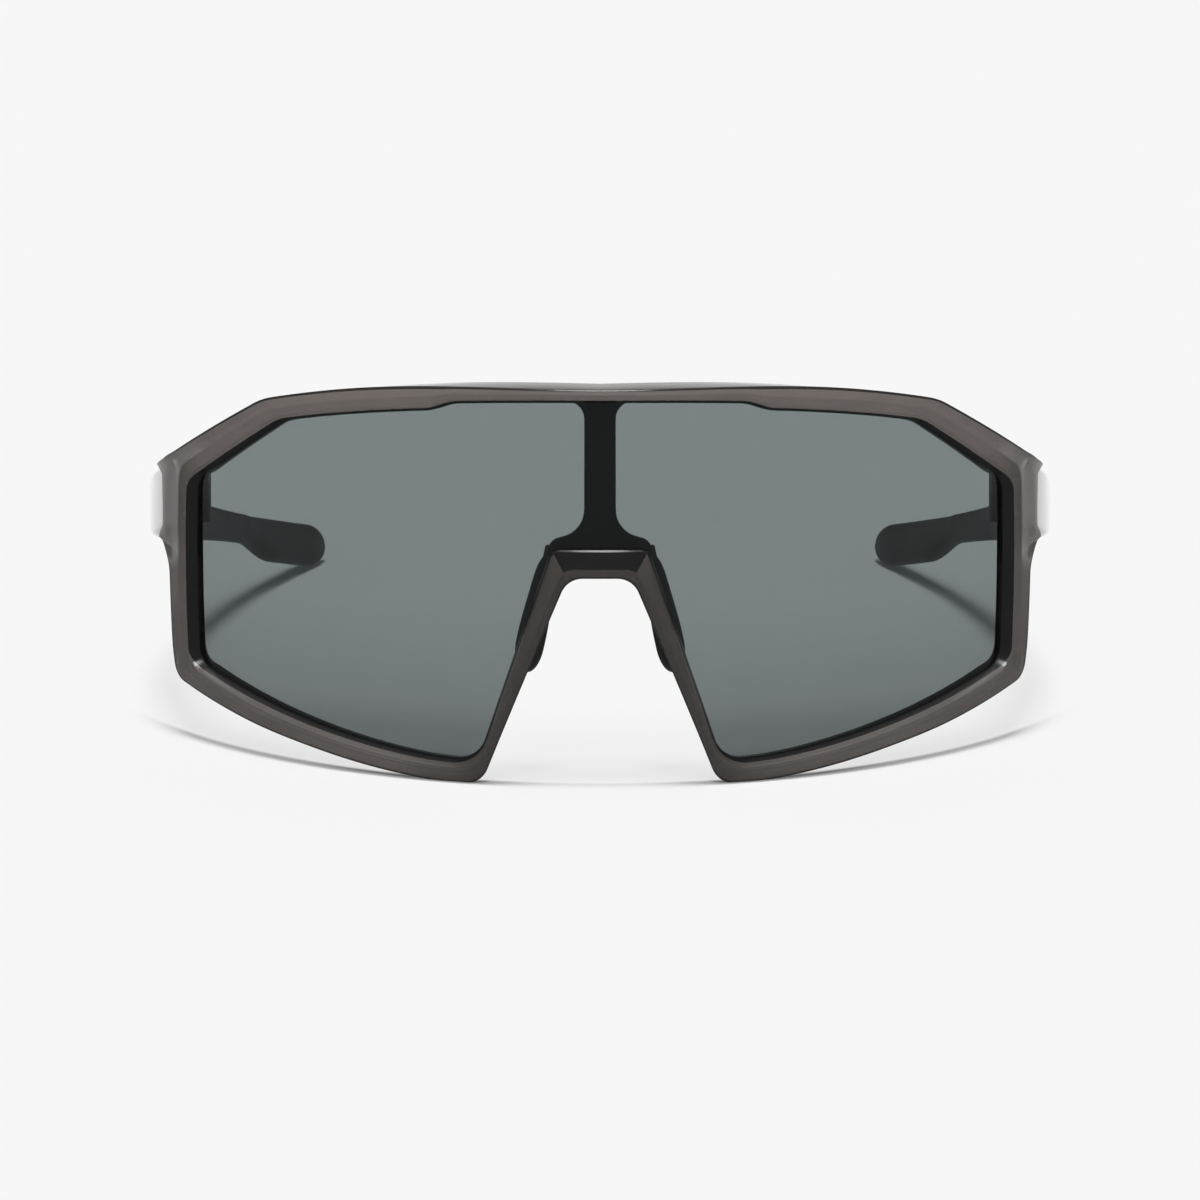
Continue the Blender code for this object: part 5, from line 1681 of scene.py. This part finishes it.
class SUNGLASSES_OT_lens(bpy.types.Operator):
    """Build the tinted shield lens"""

    bl_idname = "sunglasses.lens"
    bl_label = "Shield lens"

    def execute(self, context):
        settings = context.scene.sunglasses_front
        material = lens_tint(settings)
        edge = offset(outline(opening_corners()), GROOVE_DEPTH - FIT)
        bm = bmesh.new()
        bm.faces.new([bm.verts.new((point.x, LENS_RECESS, point.y)) for point in edge])
        sliced(bm, LENS_STRIP)
        lens = wrapped(extruded(bm, bm.faces[:], LENS_RECESS + LENS_THICKNESS), material)
        add_piece("lens", lens, material, "front", ["shield_lens"])
        return {"FINISHED"}


class SUNGLASSES_OT_nose_bridge(bpy.types.Operator):
    """Build the black bar behind the lens, its saddle and the legs into the pads"""

    bl_idname = "sunglasses.nose_bridge"
    bl_label = "Nose bridge"

    def execute(self, context):
        settings = context.scene.sunglasses_nose
        material = moulded(
            "satin_black_plastic",
            settings.bridge_colour,
            settings.bridge_roughness,
            grain=3200.0,
            depth=0.00002,
        )
        front = RIM_DEPTH + FIT
        bar = prism([tuple(point) for point in column_outline()], front, front + COLUMN_DEPTH)
        rims = [edge for edge in bar.edges if abs(edge.verts[0].co.y - edge.verts[1].co.y) < FIT]
        bar = sliced(bevelled(bar, rims, settings.column_round, segments=3), COLUMN_STRIP)
        bar = wrapped(bar, material)
        legs = [placed(loft(leg_rings()), pad_place(side)) for side in SIDES]
        add_piece("nose_bar", carved(bar, legs), material, "front", ["nose_bridge"])
        return {"FINISHED"}


class SUNGLASSES_OT_nose_pads(bpy.types.Operator):
    """Build the two soft nose pads"""

    bl_idname = "sunglasses.nose_pads"
    bl_label = "Nose pads"

    def execute(self, context):
        settings = context.scene.sunglasses_nose
        material = moulded(
            "soft_silicone",
            settings.pad_colour,
            settings.pad_roughness,
            grain=2400.0,
            depth=0.00003,
            sheen=0.15,
        )
        pocket_top = PAD_LENGTH / 2 + FIT
        snug = FIT / 6
        for side in SIDES:
            pocket = [tab_ring(pocket_top + FIT, snug), tab_ring(pocket_top - TAB_REACH - snug, snug)]
            body = placed(loft(pad_rings(settings)), pad_place(side))
            body = carved(body, cut=[placed(loft(pocket), pad_place(side))])
            name = f"{side}_pad"
            add_piece(name, body, material, "front", [f"{side}_nose_pad"])
        return {"FINISHED"}


class SUNGLASSES_OT_hinge_leaves(bpy.types.Operator):
    """Build the stamped hinge leaves with softened edges"""

    bl_idname = "sunglasses.hinge_leaves"
    bl_label = "Hinge leaves"

    def execute(self, context):
        settings = context.scene.sunglasses_hardware
        material = brushed_steel(settings)
        for side in SIDES:
            for part, body in (("front", "front"), ("temple", f"{side}_temple")):
                node = f"{side}_{part}_hinge_leaf"
                bm = bmesh.new()
                bm.from_mesh(frame["nodes"][node].data)
                bmesh.ops.remove_doubles(bm, verts=bm.verts[:], dist=MERGE_DISTANCE)
                bmesh.ops.dissolve_limit(bm, angle_limit=FLAT_ANGLE, verts=bm.verts[:], edges=bm.edges[:])
                sharp = [edge for edge in bm.edges if edge.calc_face_angle(0.0) > SMOOTH_ANGLE]
                bevelled(bm, sharp, settings.leaf_bevel, segments=2)
                add_piece(f"{side}_{part}_leaf", bm, material, body, [node])
        return {"FINISHED"}


class SUNGLASSES_OT_screws(bpy.types.Operator):
    """Set the slotted screws in the hinge leaves and the hinge pins"""

    bl_idname = "sunglasses.screws"
    bl_label = "Screws"

    def execute(self, context):
        settings = context.scene.sunglasses_hardware
        material = bpy.data.materials.get("brushed_steel") or brushed_steel(settings)
        tree = screw_tree()
        shared = {
            "Head bevel": settings.head_bevel,
            "Slot width": settings.slot_width,
            "Slot depth": settings.slot_depth,
            "Material": material,
        }
        leaf = shared | {
            "Shank radius": LEAF_SCREW_RADIUS,
            "Shank length": LEAF_SCREW_LENGTH,
            "Head radius": LEAF_SCREW_HEAD_RADIUS,
            "Head height": LEAF_SCREW_HEAD_HEIGHT,
        }
        pin = shared | {
            "Shank radius": PIN_RADIUS,
            "Shank length": PIN_LENGTH,
            "Head radius": PIN_HEAD_RADIUS,
            "Head height": PIN_HEAD_HEIGHT,
        }
        half = FRONT_SCREW_SPACING / 2
        front_places = [(FRONT_SCREW_PLACE, half), (FRONT_SCREW_PLACE, -half)]
        temple_places = [(place, 0.0) for place in TEMPLE_SCREW_PLACES]
        front_seats = []
        pin_seats = []
        for side in SIDES:
            front_seats += leaf_seats(front_places, front_leaf_place(side))
            place = hinge_place(side)
            top = place @ Vector((0.0, 0.0, FRONT_LEAF_HALF + SCREW_SEAT_GAP))
            pin_seats.append((top, HINGE_AXIS))
            mesh = screw_mesh(leaf_seats(temple_places, temple_leaf_place(side)), tree, leaf)
            nodes = [f"{side}_temple_leaf_screw_{number}" for number in (1, 2)]
            add_mesh_piece(f"{side}_temple_screws", mesh, material, f"{side}_temple", nodes)
        nodes = [f"{side}_front_leaf_screw_{number}" for side in SIDES for number in (1, 2)]
        mesh = screw_mesh(front_seats, tree, leaf)
        add_mesh_piece("front_leaf_screws", mesh, material, "front", nodes)
        nodes = [f"{side}_hinge_screw" for side in SIDES]
        mesh = screw_mesh(pin_seats, tree, pin)
        add_mesh_piece("hinge_pins", mesh, material, "front", nodes)
        return {"FINISHED"}


class SUNGLASSES_OT_temple_arms(bpy.types.Operator):
    """Build the two temple arms"""

    bl_idname = "sunglasses.temple_arms"
    bl_label = "Temple arms"

    def execute(self, context):
        settings = context.scene.sunglasses_temples
        material = arm_plastic(settings)
        for side in SIDES:
            cut = [shoulder_cutter(side, up) for up in (1.0, -1.0)]
            arm = carved(placed(loft(arm_rings(settings)), hinge_place(side)), cut=cut)
            name = f"{side}_arm"
            add_piece(name, arm, material, f"{side}_temple", [f"{side}_temple_arm"])
        return {"FINISHED"}


class SUNGLASSES_OT_temple_tips(bpy.types.Operator):
    """Build the two soft temple tips"""

    bl_idname = "sunglasses.temple_tips"
    bl_label = "Temple tips"

    def execute(self, context):
        settings = context.scene.sunglasses_temples
        material = moulded(
            "soft_tip_rubber",
            settings.tip_colour,
            settings.tip_roughness,
            grain=2600.0,
            depth=0.00003,
            sheen=0.1,
        )
        end = TEMPLE_LENGTH - TANG_SHORT + FIT
        for side in SIDES:
            socket = loft([tang_ring(place, FIT / 3) for place in spread(TIP_START - FIT, end, TANG_STEPS)])
            tip = placed(loft(tip_rings(settings)), hinge_place(side))
            tip = carved(tip, cut=[placed(socket, hinge_place(side)), floor_cut()])
            name = f"{side}_tip"
            add_piece(name, tip, material, f"{side}_temple", [f"{side}_temple_tip"])
        return {"FINISHED"}


class SUNGLASSES_OT_stage(bpy.types.Operator):
    """Set up the pale floor, the soft studio light and the camera"""

    bl_idname = "sunglasses.stage"
    bl_label = "Stage"

    def execute(self, context):
        settings = context.scene.sunglasses_stage
        self.add_floor(settings)
        self.add_world(context, settings)
        top = self.add_lamp("top_light", settings.top_light, settings.top_angle, TOP_LIGHT_PLACE)
        top.visible_glossy = False
        self.add_lamp("soft_light", settings.soft_light, settings.soft_angle, SOFT_LIGHT_PLACE)
        self.add_camera(context, settings)
        context.scene.view_settings.view_transform = "Standard"
        return {"FINISHED"}

    def add_floor(self, settings):
        bm = bmesh.new()
        corners = ((-1.0, -1.0), (1.0, -1.0), (1.0, 1.0), (-1.0, 1.0))
        bm.faces.new([bm.verts.new((x * FLOOR_HALF, y * FLOOR_HALF, 0.0)) for x, y in corners])
        mesh = mesh_of(bm, "floor")
        graph, material = Graph.material("pale_floor")
        camera, glossy, passed = graph.light_path("Is Camera Ray", "Is Glossy Ray", "Transparent Depth")
        place = graph.node("ShaderNodeTexCoord", output="Object")
        _, along_floor, _ = graph.split(place)
        behind = graph.ramp(along_floor, *MIRRORED_FLOOR)
        middle = (0.0, -FRONT_PLACE.translation.y - WRAP_RADIUS, 0.0)
        around = graph.node("ShaderNodeVectorMath", {"operation": "ADD"}, {0: place, 1: middle})
        plain = opaque(settings.floor_colour)
        mirrored = graph.blend(behind, opaque([settings.dim_side] * 3), plain)
        lit = graph.node("ShaderNodeBsdfDiffuse", None, {"Color": plain})
        glow = graph.node("ShaderNodeEmission", None, {"Color": plain, "Strength": 1.0})
        gloss = graph.node("ShaderNodeEmission", None, {"Color": mirrored, "Strength": 1.0})
        wide = graph.node("ShaderNodeVectorMath", {"operation": "LENGTH"}, {0: around}, output="Value")
        front = graph.ramp(wide, *[WRAP_RADIUS - inset for inset in FRONT_GLOW_INSETS])
        open_glow = settings.floor_glow + (settings.front_glow - settings.floor_glow) * front
        bare = camera * (open_glow + (settings.lens_glow - open_glow) * passed.least(1.0))
        seen = graph.node("ShaderNodeMixShader", None, {0: bare, 1: lit, 2: glow})
        graph.surface(graph.node("ShaderNodeMixShader", None, {0: glossy, 1: seen, 2: gloss}))
        mesh.materials.append(material)
        floor = linked("floor", mesh)
        floor.location.z = -FLOOR_GAP

    def add_world(self, context, settings):
        world = bpy.data.worlds.new("studio")
        world.use_nodes = True
        world.node_tree.nodes.clear()
        graph = Graph(world.node_tree)
        camera, glossy, transmitted = graph.light_path(
            "Is Camera Ray", "Is Glossy Ray", "Is Transmission Ray"
        )
        _, behind, above = graph.split(graph.node("ShaderNodeTexCoord", output="Generated"))
        bright = graph.ramp(behind, *MIRRORED_BACK).most(graph.ramp(above, *MIRRORED_TOP))
        plain = opaque(settings.floor_colour)
        mirrored = graph.blend(bright, opaque([settings.dim_side] * 3), plain)
        light = graph.node("ShaderNodeBackground", None, {
            "Color": (1.0, 1.0, 1.0, 1.0), "Strength": settings.sky_light,
        })
        shown = graph.node("ShaderNodeBackground", None, {"Color": plain, "Strength": 1.0})
        gloss = graph.node("ShaderNodeBackground", None, {"Color": mirrored, "Strength": 1.0})
        lit = graph.node("ShaderNodeMixShader", None, {0: glossy, 1: light, 2: gloss})
        seen = camera.most(transmitted)
        both = graph.node("ShaderNodeMixShader", None, {0: seen, 1: lit, 2: shown})
        graph.node("ShaderNodeOutputWorld", None, {"Surface": both})
        context.scene.world = world

    def add_lamp(self, name, energy, size, place):
        lamp = bpy.data.lights.new(name, "SUN")
        lamp.energy = energy
        lamp.angle = size
        item = linked(name, lamp)
        item.location = place
        item.rotation_euler = item.location.to_track_quat("Z", "Y").to_euler()
        return item

    def add_camera(self, context, settings):
        camera = bpy.data.cameras.new("camera")
        camera.lens = CAMERA_LENS
        camera.sensor_width = CAMERA_SENSOR
        camera.clip_start = CAMERA_CLIP
        item = linked("camera", camera)
        item.location = (0.0, -settings.camera_distance, settings.camera_height)
        item.rotation_euler = (CAMERA_TILT, 0.0, 0.0)
        context.scene.camera = item


OPERATORS = (
    SUNGLASSES_OT_front_frame,
    SUNGLASSES_OT_lens_shade_sheet,
    SUNGLASSES_OT_lens,
    SUNGLASSES_OT_nose_bridge,
    SUNGLASSES_OT_nose_pads,
    SUNGLASSES_OT_hinge_leaves,
    SUNGLASSES_OT_screws,
    SUNGLASSES_OT_temple_arms,
    SUNGLASSES_OT_temple_tips,
    SUNGLASSES_OT_stage,
)
SETTINGS = {
    "sunglasses_front": FrontSettings,
    "sunglasses_nose": NoseSettings,
    "sunglasses_temples": TempleSettings,
    "sunglasses_hardware": HardwareSettings,
    "sunglasses_stage": StageSettings,
}


class SUNGLASSES_PT_panel(bpy.types.Panel):
    """Sizes, finishes and build steps of the sunglasses"""

    bl_idname = "SUNGLASSES_PT_panel"
    bl_label = "Sunglasses"
    bl_space_type = "VIEW_3D"
    bl_region_type = "UI"
    bl_category = "Sunglasses"

    def draw(self, context):
        for name in SETTINGS:
            group = getattr(context.scene, name)
            section = self.layout.box()
            for field in group.bl_rna.properties:
                if field.identifier not in ("name", "rna_type"):
                    section.prop(group, field.identifier)
        for operator in OPERATORS:
            self.layout.operator(operator.bl_idname)


def register():
    for name, group in SETTINGS.items():
        bpy.utils.register_class(group)
        setattr(bpy.types.Scene, name, bpy.props.PointerProperty(type=group))
    for item in (*OPERATORS, SUNGLASSES_PT_panel):
        bpy.utils.register_class(item)


def unregister():
    for item in (SUNGLASSES_PT_panel, *reversed(OPERATORS)):
        bpy.utils.unregister_class(item)
    for name, group in SETTINGS.items():
        delattr(bpy.types.Scene, name)
        bpy.utils.unregister_class(group)


def main():
    register()
    bpy.ops.sunglasses.front_frame()
    bpy.ops.sunglasses.lens_seal()
    bpy.ops.sunglasses.lens()
    bpy.ops.sunglasses.nose_bridge()
    bpy.ops.sunglasses.nose_pads()
    bpy.ops.sunglasses.hinge_leaves()
    bpy.ops.sunglasses.screws()
    bpy.ops.sunglasses.temple_arms()
    bpy.ops.sunglasses.temple_tips()
    bpy.ops.sunglasses.stage()


if __name__ == "__main__":
    main()
